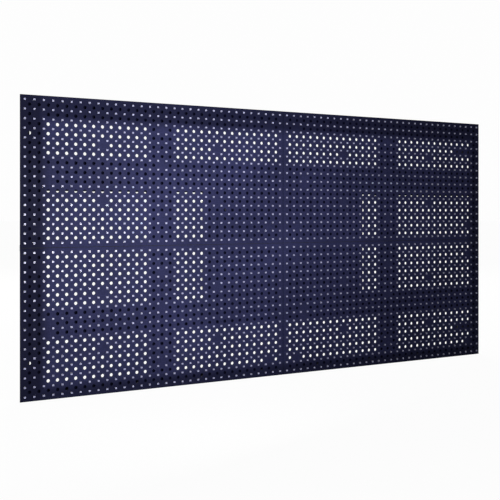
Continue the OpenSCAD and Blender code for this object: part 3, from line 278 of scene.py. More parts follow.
def tube(route, radius, sides=12):
    """A round lead: a circle of the radius carried along the route, square to its direction. The
    circle's first axis is the direction crossed with one fixed slanting line."""
    along = tangents(route)
    first = unit(np.cross(along, (0.31, 0.52, 0.79)))
    angle = np.arange(sides) * 2 * math.pi / sides
    circle = np.column_stack([np.cos(angle), np.sin(angle)]) * radius
    return skin(carried(route, first, np.cross(along, first), circle), route[0], route[-1])


def strap(rings):
    """A strip over rings of four points, with a flat face at both ends."""
    points, faces = skin(rings)
    last = len(points) - 4
    return points, faces + [np.array([[3, 2, 1, 0], [last, last + 1, last + 2, last + 3]])]


def ribbon(route, across, width, thickness, cuts=(None, None), cores=16):
    """A flat cable: round cores side by side, in one closed outline carried along the route. The
    outline's height is half the thickness on a core and about a quarter between two.

    An end may be cut on a slant: its points move along the cable by their place across times
    (cut . along) / (cut . across), which puts them on the cut's line. The first core is marked, so
    its faces come last."""
    along = tangents(route)
    across = np.array(across, float)
    side = unit(across - along * (along @ across)[:, None])
    stations = np.linspace(-0.5, 0.5, cores * 2 + 1) * width
    half = len(stations)
    height = np.where(np.arange(half) % 2, 0.5, 0.26) * thickness
    u = np.concatenate([stations, stations[::-1]])
    rings = carried(route, side, np.cross(along, side),
                    np.column_stack([u, np.concatenate([-height, height[::-1]])]))
    for cut, end in zip(cuts, (0, -1)):
        if cut is not None:
            rings[end] += u[:, None] * (cut @ along[end]) / (cut @ across) * along[end]
    points, (quads,) = skin(rings)
    count = 2 * half
    low = np.arange(half - 1)
    cap = np.stack([low, low + 1, count - 2 - low, count - 1 - low], axis=1)
    place = np.arange(count)
    marked = np.tile(np.minimum(place, count - 1 - place) < 2, len(route) - 1)
    return points, [quads[~marked], cap[:, ::-1], cap + len(points) - count, quads[marked]]


class Shell:
    """Points and faces of one piece, gathered part by part and then made one mesh."""

    def __init__(self):
        self.points, self.faces, self.count = [], [], 0

    def add(self, shape, finish=0):
        """One finish for the whole shape, or one for each of its groups of faces."""
        points, faces = shape
        finishes = np.broadcast_to(finish, len(faces))
        self.faces += [(ring + self.count, index) for ring, index in zip(faces, finishes)]
        self.points.append(points)
        self.count += len(points)
        return self

    def repeat(self, shape, centres, facing="+z", finish=0):
        """A copy of a small shape at each centre: its points turned, plus the centre."""
        local, faces = shape
        local = local @ TURNS[facing].T
        centres = np.atleast_2d(np.array(centres, float))
        start = (np.arange(len(centres)) * len(local))[:, None, None]
        faces = [(start + ring[None]).reshape(-1, ring.shape[1]) for ring in faces]
        return self.add(((centres[:, None] + local[None]).reshape(-1, 3), faces), finish)

    def piece(self, name, finishes, slot, body="cabinet", stands_for=None, smooth=35):
        """Makes the mesh and its object, ties it to its body and hides the CAD node it stands for. The
        slot is not used. The finishes are names with commas between them."""
        mesh = bpy.data.meshes.new(name)
        points = np.concatenate(self.points) * MM
        mesh.vertices.add(len(points))
        mesh.vertices.foreach_set("co", points.astype(np.float32).ravel())
        sizes = np.concatenate([np.full(len(ring), ring.shape[1]) for ring, _ in self.faces])
        loops = np.concatenate([ring.ravel() for ring, _ in self.faces])
        finish = np.concatenate([np.full(len(ring), index) for ring, index in self.faces])
        mesh.loops.add(len(loops))
        mesh.loops.foreach_set("vertex_index", loops.astype(np.int32))
        mesh.polygons.add(len(sizes))
        starts = np.concatenate([[0], np.cumsum(sizes)[:-1]])
        mesh.polygons.foreach_set("loop_start", starts.astype(np.int32))
        mesh.polygons.foreach_set("material_index", finish.astype(np.int32))
        mesh.polygons.foreach_set("use_smooth", np.ones(len(sizes), bool))
        mesh.update(calc_edges=True)
        mesh.set_sharp_from_angle(angle=math.radians(smooth))
        for each in finishes.split(", "):
            mesh.materials.append(finish_of(each))
        piece = bpy.data.objects.new(name, mesh)
        bpy.context.scene.collection.objects.link(piece)
        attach(piece, body)
        if stands_for:
            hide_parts(stands_for)


# ---------------------------------------------------------------- finishes

def link_or_set(tree, socket, value):
    """Gives an input a value, or a link where the value is another node's output."""
    if isinstance(value, bpy.types.NodeSocket):
        tree.links.new(value, socket)
    else:
        socket.default_value = value


class Finish:
    """One node material, with short calls that add nodes to it. Patterns read Object coordinates,
    which are metres in the cabinet's own frame."""

    def __init__(self, name, color, roughness, metallic=0.0, specular=0.5):
        self.material = bpy.data.materials.new(name)
        self.material.use_nodes = True
        self.tree = self.material.node_tree
        self.shader = self.tree.nodes["Principled BSDF"]
        self.shader.inputs["Base Color"].default_value = (*color, 1)
        self.shader.inputs["Roughness"].default_value = roughness
        self.shader.inputs["Metallic"].default_value = metallic
        self.shader.inputs["Specular IOR Level"].default_value = specular
        self.place = self.node("ShaderNodeTexCoord").outputs["Object"]

    def node(self, kind, inputs=(), **settings):
        made = self.tree.nodes.new(kind)
        for key, value in settings.items():
            setattr(made, key, value)
        for key, value in dict(inputs).items():
            link_or_set(self.tree, made.inputs[key], value)
        return made

    def noise(self, scale, detail=3.0, roughness=0.55, stretch=None):
        vector = self.place
        if stretch:
            vector = self.node("ShaderNodeMapping", {"Vector": vector, "Scale": stretch}).outputs["Vector"]
        inputs = {"Vector": vector, "Scale": scale, "Detail": detail, "Roughness": roughness}
        return self.node("ShaderNodeTexNoise", inputs).outputs["Fac"]

    def math(self, operation, first, second=0.0):
        return self.node("ShaderNodeMath", {0: first, 1: second}, operation=operation).outputs[0]

    def axes(self):
        made = self.node("ShaderNodeSeparateXYZ", {"Vector": self.place})
        return made.outputs["X"], made.outputs["Z"]

    def facing(self):
        """How far a face looks along +Y: the Y of its true normal."""
        normal = self.node("ShaderNodeNewGeometry").outputs["True Normal"]
        return self.node("ShaderNodeSeparateXYZ", {"Vector": normal}).outputs["Y"]

    def near(self, value, place, half):
        """1 where a value lies within half of a place."""
        gap = self.math("ABSOLUTE", self.math("SUBTRACT", value, place))
        return self.math("LESS_THAN", gap, half)

    def spread(self, value, low, high, to_low=0.0, to_high=1.0):
        made = self.node("ShaderNodeMapRange", {
            "Value": value, "From Min": low, "From Max": high, "To Min": to_low, "To Max": to_high,
        })
        return made.outputs["Result"]

    def between(self, factor, low, high):
        """A colour between two others; each may be a colour or a socket."""
        made = self.node("ShaderNodeMix", {"Factor": factor}, data_type="RGBA")
        for index, value in ((6, low), (7, high)):
            value = value if isinstance(value, bpy.types.NodeSocket) else (*value, 1)
            link_or_set(self.tree, made.inputs[index], value)
        return made.outputs[2]

    def paint(self, socket):
        self.tree.links.new(socket, self.shader.inputs["Base Color"])

    def dull(self, factor, low, high):
        """Roughness that follows a pattern between two values."""
        self.tree.links.new(self.spread(factor, 0.3, 0.7, low, high), self.shader.inputs["Roughness"])

    def rounded(self, radius):
        """The normal as it is on edges rounded by a radius in millimetres."""
        return self.node("ShaderNodeBevel", {"Radius": radius * MM}, samples=4).outputs["Normal"]

    def relief(self, height, depth, strength=0.6, edge=0.0):
        """Bump of a depth in millimetres, on edges that look rounded where edge is a radius."""
        inputs = {"Height": height, "Distance": depth * MM, "Strength": strength}
        if edge:
            inputs["Normal"] = self.rounded(edge)
        made = self.node("ShaderNodeBump", inputs)
        self.tree.links.new(made.outputs["Normal"], self.shader.inputs["Normal"])

    def lit_edges(self, radius):
        """1 on rounded edges and 0 on flats: how far the rounded normal leans from the true one."""
        true = self.node("ShaderNodeNewGeometry").outputs["True Normal"]
        lean = self.node("ShaderNodeVectorMath", {0: self.rounded(radius), 1: true},
                         operation="DOT_PRODUCT")
        return self.spread(lean.outputs["Value"], 0.99, 0.85)

    def clouded(self, tone, low, high, roughness, span=(0.3, 0.7)):
        """Colour and roughness that follow one slow pattern."""
        self.paint(self.between(self.spread(tone, *span), low, high))
        self.dull(tone, *roughness)


def shade(color, factor):
    """A colour made darker or paler by a factor."""
    return tuple(min(1.0, channel * factor) for channel in color)


def board_mask(name, color, bare):
    """Satin solder mask over copper: fine tracks and vias repeat with the light points, and the
    copper pour under the mask clouds it a little. Along the cabinet's outer edges the mask is
    painted darker, as painted shade, over about two light points. The outer cut edges show the bare
    laminate, and the drilled walls are painted dark, as painted shade inside the holes."""
    made = Finish(name, color, 0.6, specular=0.03)
    column, row = (made.math("DIVIDE", axis, PITCH * MM) for axis in made.axes())
    u, w = made.math("FRACT", column), made.math("FRACT", row)
    tracks = made.near(u, 0.27, 0.012)
    for value, place, half in ((w, 0.31, 0.010), (u, 0.73, 0.012), (w, 0.69, 0.022)):
        tracks = made.math("MAXIMUM", tracks, made.near(value, place, half))
    via = made.math("MULTIPLY", made.near(u, 0.27, 0.035), made.near(w, 0.31, 0.035))
    cloud = made.spread(made.noise(9.0, 4.0), 0.35, 0.65)
    fabric = made.noise(1400.0, 1.0)
    mottle = made.math("MULTIPLY", made.spread(made.noise(330.0, 2.0, 0.8), 0.3, 0.7), 0.6)
    cloud = made.math("ADD", mottle, made.math("MULTIPLY", cloud, 0.4))
    base = made.between(cloud, shade(color, 0.62), shade(color, 1.38))
    base = made.between(made.math("MULTIPLY", tracks, 0.35), base, shade(color, 1.7))
    base = made.between(made.math("MULTIPLY", via, 0.8), base, shade(color, 0.4))
    columns, rows = BOARD_COLUMNS, BOARD_ROWS
    # Painted shade: the mask darkens towards the cabinet's outer edges, over two to three light points on the
    # left and top and one to two on the right and bottom
    pour = made.spread(column, 2.0 - columns, 3.2 - columns, -0.25)
    for value, end, start, least in ((column, columns - 1.0, columns - 2.2, -0.1),
                                     (row, rows - 2.0, rows - 3.0, 0.0),
                                     (row, 0.8 - rows, 1.8 - rows, 0.0)):
        pour = made.math("MINIMUM", pour, made.spread(value, end, start, least))
    base = made.between(made.spread(pour, -0.25, 1.0), shade(color, 0.36), base)
    # Painted shade: the walls of the drilled holes take a quarter of the mask colour, as shade inside the holes
    wall = made.math("LESS_THAN", made.math("ABSOLUTE", made.facing()), 0.5)
    base = made.between(wall, base, shade(color, 0.25))
    outside = made.math("MAXIMUM", *(
        made.math("GREATER_THAN", made.math("ABSOLUTE", value), count - 0.1)
        for value, count in ((column, columns), (row, rows))))
    made.paint(made.between(made.math("MULTIPLY", wall, outside), base, bare))
    made.dull(cloud, 0.5, 0.66)
    made.relief(made.math("ADD", tracks, made.math("MULTIPLY", fabric, 0.5)), 0.03, 0.5, 0.12)
    return made.material


def powder_coat(name, color, grain=700.0, depth=0.06, edge=0.5, roughness=(0.5, 0.68), specular=0.3,
                front=None):
    """Powder coat: an even orange-peel relief, slight clouds of gloss, thinner and paler on edges.
    Faces turned towards the boards take the front colour, where there is one: a darker colour painted as shade,
    for the shade behind the boards."""
    made = Finish(name, color, roughness[0], specular=specular)
    cloud = made.noise(14.0, 4.0)
    wear = made.math("MULTIPLY", made.lit_edges(edge), made.spread(made.noise(60.0, 4.0), 0.4, 0.7))
    base = made.between(made.spread(cloud, 0.3, 0.7), shade(color, 0.85), shade(color, 1.25))
    base = made.between(made.math("MULTIPLY", wear, 0.6), base, shade(color, 3.2))
    if front:
        # Painted shade: faces that look towards the boards take the darker front colour
        base = made.between(made.math("LESS_THAN", made.facing(), -0.7), base, front)
    made.paint(base)
    made.dull(cloud, *roughness)
    made.relief(made.noise(grain, 2.0), depth, 0.5, edge)
    return made.material


def plated(name, color, roughness=(0.28, 0.46), edge=0.15):
    """Plated steel: bright metal with cloudy passivation and fine drawing marks."""
    made = Finish(name, color, roughness[0], metallic=1.0)
    warm = (color[0], color[1] * 0.97, color[2] * 0.88)
    made.clouded(made.noise(90.0, 4.0), shade(color, 0.82), warm, roughness, (0.35, 0.65))
    made.relief(made.noise(500.0, 2.0), 0.02, 0.4, edge)
    return made.material


def brushed_sheet(name, color):
    """Bare rolled aluminium: long fine grain along the sheet and soft finger-dull patches."""
    made = Finish(name, color, 0.35, metallic=1.0)
    grain = made.noise(120.0, 3.0, stretch=(0.6, 14, 14))
    made.paint(made.between(made.spread(grain, 0.3, 0.7), shade(color, 0.86), shade(color, 1.08)))
    made.dull(made.noise(30.0, 3.0), 0.3, 0.48)
    made.relief(grain, 0.02, 0.4, 0.3)
    return made.material


def moulding(name, color, roughness=(0.42, 0.58), grain=1500.0, specular=0.4, edge=0.15):
    """Injection moulding: fine spark-eroded grain, faint flow clouds and softened edges."""
    made = Finish(name, color, roughness[0], specular=specular)
    made.clouded(made.noise(70.0, 3.0), shade(color, 0.88), shade(color, 1.1), roughness)
    made.relief(made.noise(grain, 2.0), 0.02, 0.5, edge)
    return made.material


def insulation(name, color, roughness=(0.3, 0.45)):
    """Extruded cable sheath: glossy, with slow changes of tone along it and a faint skin."""
    made = Finish(name, color, roughness[0], specular=0.45)
    made.clouded(made.noise(40.0, 2.0), shade(color, 0.8), shade(color, 1.15), roughness)
    made.relief(made.noise(900.0, 2.0), 0.015, 0.4)
    return made.material


def sponge(name, color):
    """Closed-cell rubber: a skin of small open cells."""
    made = Finish(name, color, 0.9, specular=0.2)
    cells = made.node("ShaderNodeTexVoronoi", {"Vector": made.place, "Scale": 1300.0})
    cells = cells.outputs["Distance"]
    made.paint(made.between(made.spread(cells, 0.0, 0.6), shade(color, 0.5), shade(color, 1.5)))
    made.relief(cells, 0.1, 0.7)
    return made.material


def card_mask(name, color):
    """Green solder mask on the cards in the box: a fine maze of tracks over copper pour."""
    made = Finish(name, color, 0.34, specular=0.4)
    u, w = (made.math("FRACT", made.math("DIVIDE", axis, PIN_STEP * MM)) for axis in made.axes())
    choose = made.math("GREATER_THAN", made.noise(55.0, 1.0), 0.5)
    run = made.node("ShaderNodeMix", {"Factor": choose, 2: u, 3: w}).outputs[0]
    pour = made.math("GREATER_THAN", made.noise(26.0, 1.0), 0.46)
    track = made.math("MULTIPLY", made.near(run, 0.5, 0.14), pour)
    cloud = made.spread(made.noise(12.0, 3.0), 0.3, 0.7)
    base = made.between(cloud, shade(color, 0.8), shade(color, 1.15))
    made.paint(made.between(made.math("MULTIPLY", track, 0.6), base, shade(color, 1.9)))
    made.dull(cloud, 0.3, 0.44)
    made.relief(track, 0.04, 0.5, 0.12)
    return made.material


KEPT = {}


def recipe(name, look):
    """How to make the finish of that name: a function, the material's name and what it needs."""
    return {
        "solder mask": (board_mask, "solder_mask", look.mask, look.laminate),
        "package": (moulding, "package_white", look.package, (0.4, 0.55), 2500.0, 0.35, 0.05),
        # Painted shade: the package sides are the package colour at three tenths
        "package side": (moulding, "package_side", shade(look.package, 0.3), (0.5, 0.65), 2500.0, 0.2,
                         0.05),
        "lens": (moulding, "package_lens", look.lens, (0.12, 0.2), 2500.0, 0.5, 0.02),
        "tinned": (plated, "tinned_leads", (0.72, 0.72, 0.74), (0.22, 0.36), 0.03),
        "epoxy": (moulding, "chip_epoxy", (0.018, 0.018, 0.02), (0.5, 0.66), 3000.0, 0.35, 0.05),
        "ceramic": (moulding, "ceramic_body", (0.42, 0.33, 0.22), (0.4, 0.55), 3000.0, 0.4, 0.03),
        "black moulding": (moulding, "black_moulding", (0.016, 0.016, 0.018)),
        "ivory moulding": (moulding, "ivory_moulding", (0.72, 0.68, 0.55)),
        "gold": (plated, "gold_contacts", (0.86, 0.62, 0.24), (0.2, 0.3), 0.03),
        "zinc": (plated, "zinc_plate", look.zinc),
        "coat": (powder_coat, "powder_coat", look.coat),
        # The frame coat's faces behind the boards take the front shade colour, painted shade
        "frame coat": (powder_coat, "frame_coat", look.coat, 700.0, 0.06, 0.5, (0.58, 0.74), 0.06,
                       look.front_shade),
        "cast": (powder_coat, "cast_coat", look.cast, 330.0, 0.14, 0.8, (0.58, 0.74)),
        "sponge": (sponge, "door_sponge", (0.02, 0.02, 0.021)),
        "bare sheet": (brushed_sheet, "bare_sheet", (0.66, 0.67, 0.69)),
        "card": (card_mask, "card_mask", look.card),
        "ribbon": (insulation, "ribbon_grey", look.ribbon, (0.4, 0.52)),
        "ribbon mark": (insulation, "ribbon_mark", (0.5, 0.03, 0.025), (0.4, 0.52)),
        "red sheath": (insulation, "red_sheath", look.positive),
        "black sheath": (insulation, "black_sheath", (0.018, 0.018, 0.02)),
        "brown sheath": (insulation, "brown_sheath", (0.17, 0.065, 0.03)),
        "blue sheath": (insulation, "blue_sheath", (0.03, 0.12, 0.4)),
        "green sheath": (insulation, "green_sheath", (0.12, 0.32, 0.04)),
        "button": (moulding, "button_red", (0.52, 0.03, 0.02), (0.2, 0.32), 900.0, 0.5, 0.4),
        "sleeve": (insulation, "capacitor_sleeve", (0.03, 0.035, 0.07), (0.25, 0.35)),
    }[name]


def finish_of(name):
    """The shared material of that name, made the first time it is asked for."""
    if name not in KEPT:
        kind, *needs = recipe(name, bpy.context.scene.display_looks)
        KEPT[name] = kind(*needs)
    return KEPT[name]


def dress(name, *nodes):
    """Gives carried-over CAD nodes one finish."""
    for node in nodes:
        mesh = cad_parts[node].data
        mesh.materials.clear()
        mesh.materials.append(finish_of(name))


# ---------------------------------------------------------------- sizes and colours a user may change

def number(name, description, default, **more):
    return bpy.props.FloatProperty(name=name, description=description, default=default, **more)


def length(name, description, millimetres):
    return number(name, description, millimetres * MM, unit="LENGTH")


def colour(name, description, *default):
    return bpy.props.FloatVectorProperty(
        name=name, description="Colour of " + description, size=3, subtype="COLOR", default=default)


class DisplayLooks(bpy.types.PropertyGroup):
    """Sizes and colours of the display face, the sheetwork and the wiring."""

    package_width: length("Package width", "Width of one light package", 3.5)
    package_height: length("Package height", "Height of one light package", 2.8)
    package_stand: length("Package stand", "How far a package stands out", 1.9)
    lead_diameter: length("Lead diameter", "Diameter of a power lead", 3.2)
    ribbon_width: length("Ribbon width", "Width of a flat cable", 20)
    mask: colour("Solder mask", "the boards", 0.0305, 0.033, 0.092)
    laminate: colour("Laminate", "the boards' cut edges", 0.20, 0.20, 0.24)
    package: colour("Package", "the light packages' frames", 0.53, 0.54, 0.82)
    lens: colour("Lens", "the light packages' windows", 0.42, 0.42, 0.60)
    coat: colour("Powder coat", "the sheetwork", 0.012, 0.013, 0.022)
    # Painted shade: a darker colour for the frame's faces behind the boards, which lie in shade
    front_shade: colour("Front shade", "the frame's faces behind the boards", 0.001, 0.0016, 0.014)
    cast: colour("Cast coat", "the bolt cases and keepers", 0.030, 0.031, 0.036)
    zinc: colour("Zinc plate", "the plated fasteners", 0.62, 0.62, 0.60)
    card: colour("Cards", "the cards in the box", 0.014, 0.10, 0.045)
    ribbon: colour("Ribbon", "the flat cables", 0.40, 0.41, 0.43)
    positive: colour("Positive leads", "the positive leads", 0.50, 0.028, 0.02)


class DisplayStage(bpy.types.PropertyGroup):
    """Floor, lamps and camera."""

    backdrop: number("Backdrop", "Brightness of the white behind the object", 0.985)
    fill: number("Fill", "Strength of the even light from all sides", 0.05)
    key_power: number("Key lamp", "Power of the lamp in front, on the left", 5.0)
    front_power: number("Front lamp", "Power of the wide lamp in front", 1.5)
    rear_power: number("Rear lamp", "Power of the lamp behind", 46.0)
    focal: number("Focal length", "Lens of the camera in millimetres", 63.4)
    lift: number("Lens shift", "Vertical shift of the lens", -0.076)
    sideways: number("Sideways shift", "Sideways shift of the lens", 0.0014)


# ---------------------------------------------------------------- display face

def package_shapes(look):
    """One light package, seen along +Z: its face, its window, its leads and its sides, which take a darker copy
    of the package colour as painted shade.

    Ten points run round the rectangle, at the feet and drawn in a little at the top. Inside the top
    lies a round cup of ten points, (r cos t, r sin t), with a slightly domed window."""
    half_x, half_y = look.package_width / MM / 2, look.package_height / MM / 2
    stand = look.package_stand / MM
    edge = np.array([[1, 0], [1, 1], [0.4, 1], [-0.4, 1], [-1, 1], [-1, 0], [-1, -1], [-0.4, -1],
                     [0.4, -1], [1, -1]]) * (half_x, half_y)
    angle = np.radians([0, 38, 72, 108, 142, 180, 218, 252, 288, 322])
    circle = np.stack([np.cos(angle), np.sin(angle)], axis=1) * half_y
    rings = [np.column_stack([ring, np.full(len(ring), stand * height)]) for ring, height in (
        (edge, 0.0), (edge, 0.55), (edge * 0.955, 1.0), (circle * 0.82, 1.0), (circle * 0.70, 0.86))]
    reach, half_lead, lead_top = 0.22, 0.45, 0.75
    leads = []
    for side in (-1, 1):
        for x in (-half_x / 2, half_x / 2):
            low = np.array([x - half_lead, side * half_y - reach, 0])
            leads.append((low, low + [2 * half_lead, 2 * reach, lead_top]))
    window = skin(rings[4:], last=(0, 0, stand * 0.93))
    # The last shape, the sides, takes the finish painted with shade
    return skin(rings[2:]), window, blocks(leads, 0.06), skin(rings[:3])


class DISPLAY_OT_light_packages(bpy.types.Operator):
    """Puts a light package with a cup, a window and four leads at every light point"""
    bl_idname = "display.light_packages"
    bl_label = "Light packages"

    def execute(self, context):
        shapes = package_shapes(context.scene.display_looks)
        columns = (np.arange(BOARD_COLUMNS) - BOARD_COLUMNS / 2 + 0.5) * PITCH
        rows = (np.arange(BOARD_ROWS) - BOARD_ROWS / 2 + 0.5) * PITCH
        x, z = np.meshgrid(columns, rows)
        for quarter, centre in BOARD_CENTRES.items():
            places = np.column_stack([centre[0] + x.ravel(), np.full(x.size, Y_FRONT), centre[2] + z.ravel()])
            shell = Shell()
            for finish, shape in enumerate(shapes):
                shell.repeat(shape, places, "-y", finish)
            shell.piece("light_packages_" + quarter, "package, lens, tinned, package side", "led",
                        stands_for="leds_" + quarter, smooth=30)
        return {"FINISHED"}


class DISPLAY_OT_boards(bpy.types.Operator):
    """Finishes the four perforated boards"""
    bl_idname = "display.boards"
    bl_label = "Boards"

    def execute(self, context):
        dress("solder mask", *["led_board_" + quarter for quarter in QUARTERS])
        return {"FINISHED"}


def shroud(half_w, half_l, height, wall, key):
    """A socket's shroud on the Z axis: a floor and four walls, one of them with a gap for the key."""
    return blocks([
        slab(half_w, half_l, 0, wall * 2),
        ((-half_w, -half_l, 0), (wall - half_w, -key, height)),
        ((half_w - wall, -half_l, 0), (half_w, half_l, height)),
        ((-half_w, -half_l, 0), (half_w, wall - half_l, height)),
        ((-half_w, half_l - wall, 0), (half_w, half_l, height)),
        ((-half_w, key, 0), (wall - half_w, half_l, height)),
    ], 0.18)


def pins(places, height, half):
    """Square pins in a socket, from 1 above its foot to 2 below its rim."""
    return blocks([((x - half, y - half, 1), (x + half, y + half, height - 2)) for x, y in places], 0.12)


def small_parts(name, spots, slot, body, body_chamfer, end, end_chamfer):
    """Two-ended chip parts: a body between two tinned ends, each given by half its sizes."""
    shell = Shell().repeat(blocks(slab(*body), body_chamfer), spots, "+y", 0)
    half_x, inner, half_y, high = end
    ends = [((a, -half_y, 0), (b, half_y, high)) for a, b in ((-half_x, -inner), (inner, half_x))]
    shell.repeat(blocks(ends, end_chamfer), spots, "+y", 1)
    shell.piece(name, "ceramic, tinned", slot, smooth=30)


class DISPLAY_OT_board_electronics(bpy.types.Operator):
    """Driver chips with their leads, small passives and the sockets on the backs of the boards"""
    bl_idname = "display.board_electronics"
    bl_label = "Board electronics"

    def execute(self, context):
        places = on_boards([(i, j) for i in CHIP_COLUMNS for j in CHIP_ROWS], Y_BOARD)
        self.chips(places)
        offsets = np.array([[x, 0, z] for x in (-6.2, 6.2) for z in (1.6, -1.6)])
        spots = (places[:, None] + offsets[None]).reshape(-1, 3)
        small_parts("board_passives", spots, "chip", (0.55, 0.4, 0.03, 0.5), 0.04,
                    (0.8, 0.5, 0.4, 0.54), 0.05)

        grid = [(s * PIN_STEP / 2, k * PIN_STEP) for s in (-1, 1) for k in np.arange(-3.5, 4)]
        row = [(k * 3.6, 0) for k in np.arange(-1.5, 2)]
        for cell, body, contacts, name, finishes, slot, node in (
                (DATA_CELL, shroud(4.5, 13.5, DATA_SOCKET, 1.2, 2.2), pins(grid, DATA_SOCKET, 0.32),
                 "data_sockets_keyed", "black moulding, gold", "black_plastic", "data_sockets"),
                (POWER_CELL, shroud(8.5, 4.5, POWER_SOCKET, 1.2, 1.6), pins(row, POWER_SOCKET, 0.5),
                 "power_sockets_keyed", "ivory moulding, tinned", "ivory_plastic",
                 "module_power_sockets")):
            spots = on_boards([cell], Y_BOARD)
            Shell().repeat(body, spots, "+y").repeat(contacts, spots, "+y", 1).piece(
                name, finishes, slot, stands_for=node)
        return {"FINISHED"}

    def chips(self, places):
        """Chip bodies with a dot at pin one and twelve gull-wing leads on each long side. A lead is a
        strip of four stations: flat on the board, up, and into the body."""
        half_l, half_w, height, reach = 4.35, 2.7, 1.7, 3.9
        shell = Shell().repeat(blocks(slab(half_l, half_w, 0.15, height), 0.22), places, "+y", 0)
        dot = turned([(0, height + 0.01), (0.42, height + 0.01), (0, height + 0.03)], 10)
        shell.repeat(dot, places + [1.0 - half_l, 0, half_w - 1.0], "+y", 2)
        stations = ((reach, 0.14), (half_w + 0.62, 0.14), (half_w + 0.45, 0.95), (half_w - 0.1, 0.95))
        half, thick, step = 0.13, 0.12, 0.68
        section = ((-half, -thick), (half, -thick), (half, 0), (-half, 0))
        points, faces = strap([[(x, y, z + up) for x, up in section] for y, z in stations])
        for k in np.arange(-5.5, 6):
            for side in (1, -1):
                lead = points * [side, side, 1] + [k * step, 0, 0]
                shell.repeat((lead, faces), places, "+y", 1)
        shell.piece("driver_chips_leaded", "epoxy, tinned, ceramic", "chip", stands_for="driver_chips",
                    smooth=30)


# ---------------------------------------------------------------- fasteners

def pan_head(radius, height, hex_radius, depth):
    """A pan head about +Z from height 0: a rolled rim, then a hexagonal socket.

    The rings are circles of 24 points. The socket's rings follow a hexagon, where the radius at
    angle t is the flat's distance over the cosine of t within each sixth."""
    sides = 24
    angle = np.arange(sides) * 2 * math.pi / sides
    sixth = (angle + math.pi / 6) % (math.pi / 3) - math.pi / 6
    hexagon = hex_radius * math.cos(math.pi / 6) / np.cos(sixth)
    rims = [radius * share for share in (0.97, 1, 1, 0.93, 0.78, 0.66)] + [hexagon, hexagon * 0.96]
    levels = [height * share for share in (0, 0.12, 0.5, 0.8, 0.97, 1, 1)] + [height - depth]
    radii = np.array([np.broadcast_to(rim, sides) for rim in rims])
    return skin(rings_about(radii, levels, sides), (0, 0, 0), (0, 0, height - depth * 1.1))


SCREW_HEAD = pan_head(4, 2.4, 1.45, 1.4)
SMALL_HEAD = pan_head(2.6, 1.5, 1.0, 0.9)


class DISPLAY_OT_fasteners(bpy.types.Operator):
    """Studs, screws, service pillars, blind rivets and rivet nuts"""
    bl_idname = "display.fasteners"
    bl_label = "Fasteners"

    def execute(self, context):
        dress("zinc", "fixing_studs")
        spots = on_boards(STUD_CELLS, Y_BACK)
        shank = rod(2, Y_BOARD + 1 - Y_BACK, 0.1)
        shell = Shell().repeat(SCREW_HEAD, spots, "+y").repeat(shank, spots, "+y")
        shell.piece("module_screws_socketed", "zinc", "plated_steel", stands_for="module_screws")

        r, tall, bore = 3, 8, 1.35
        pillar = turned([
            (0, 0), (r * 0.98, 0), (r * 0.98, 1.2), (r * 0.8, 1.3), (r * 0.8, 1.7), (r, 1.8),
            (r, tall - 0.4), (r - 0.4, tall), (bore + 0.3, tall), (bore, tall - 0.3), (bore, tall - 4),
            (0, tall - 4.6)])
        Shell().repeat(pillar, on_boards(PILLAR_CELLS, Y_BOARD), "+y").piece(
            "service_pillars_tapped", "zinc", "plated_steel", stands_for="service_pillars")
        self.rivets()
        self.rivet_nuts()
        return {"FINISHED"}

    def rivets(self):
        """Blind rivets: a domed head with the broken mandrel in it, a shank and a bulbed tail."""
        radius, head, shank, strap_sheet, duct_sheet = 3.75, 1.3, 2, 2, 1.5

        def rivet(grip):
            dome = [(0, -head * 0.55), (0.95, -head * 0.5), (1.15, -head), (1.9, -head),
                    (2.9, -head * 0.72), (3.6, -head * 0.3), (radius, 0), (shank, 0)]
            tail = [(shank, grip), (2.5, grip + 0.2), (2.7, grip + 0.7), (2.2, grip + head * 0.9),
                    (1.2, grip + head), (0, grip + head * 0.95)]
            return turned(dome + tail, 20)

        face, walls = rivet_places()
        shell = Shell().repeat(rivet(SHEET + strap_sheet), face, "+y")
        for way, facing in ((1, "+z"), (-1, "-z")):
            start = walls[walls[:, 3] == way, :3] - (0, 0, way * duct_sheet)
            shell.repeat(rivet(duct_sheet + strap_sheet), start, facing)
        shell.piece("frame_rivets_domed", "frame coat", "black_paint", stands_for="frame_rivets")

    def rivet_nuts(self):
        """Rivet nuts: flange, fluted body, crimp bulge and a threaded bore drawn as fine rings."""
        low, high = corners("mounting_nuts")
        flange, body, bore, foot = 8, 5.5, 3.4, -15
        thread = [(bore + (0.32 if k % 2 else 0), foot + 0.6 * k) for k in range(25)]
        profile = [(body - 0.4, foot), (body, foot + 0.4), (body, -6), (body, -4.2), (body, -1),
                   (flange, -1), (flange, -0.3), (flange - 0.3, 0), (bore + 0.4, 0)]
        profile += thread[::-1] + profile[:1]
        spots = [(x, 0, z) for x in (low[0] + flange, high[0] - flange)
                 for z in (low[2] + flange, high[2] - flange)]
        Shell().repeat(turned(profile, 32), spots, "+y").piece(
            "rivet_nuts_threaded", "zinc", "plated_steel", stands_for="mounting_nuts")


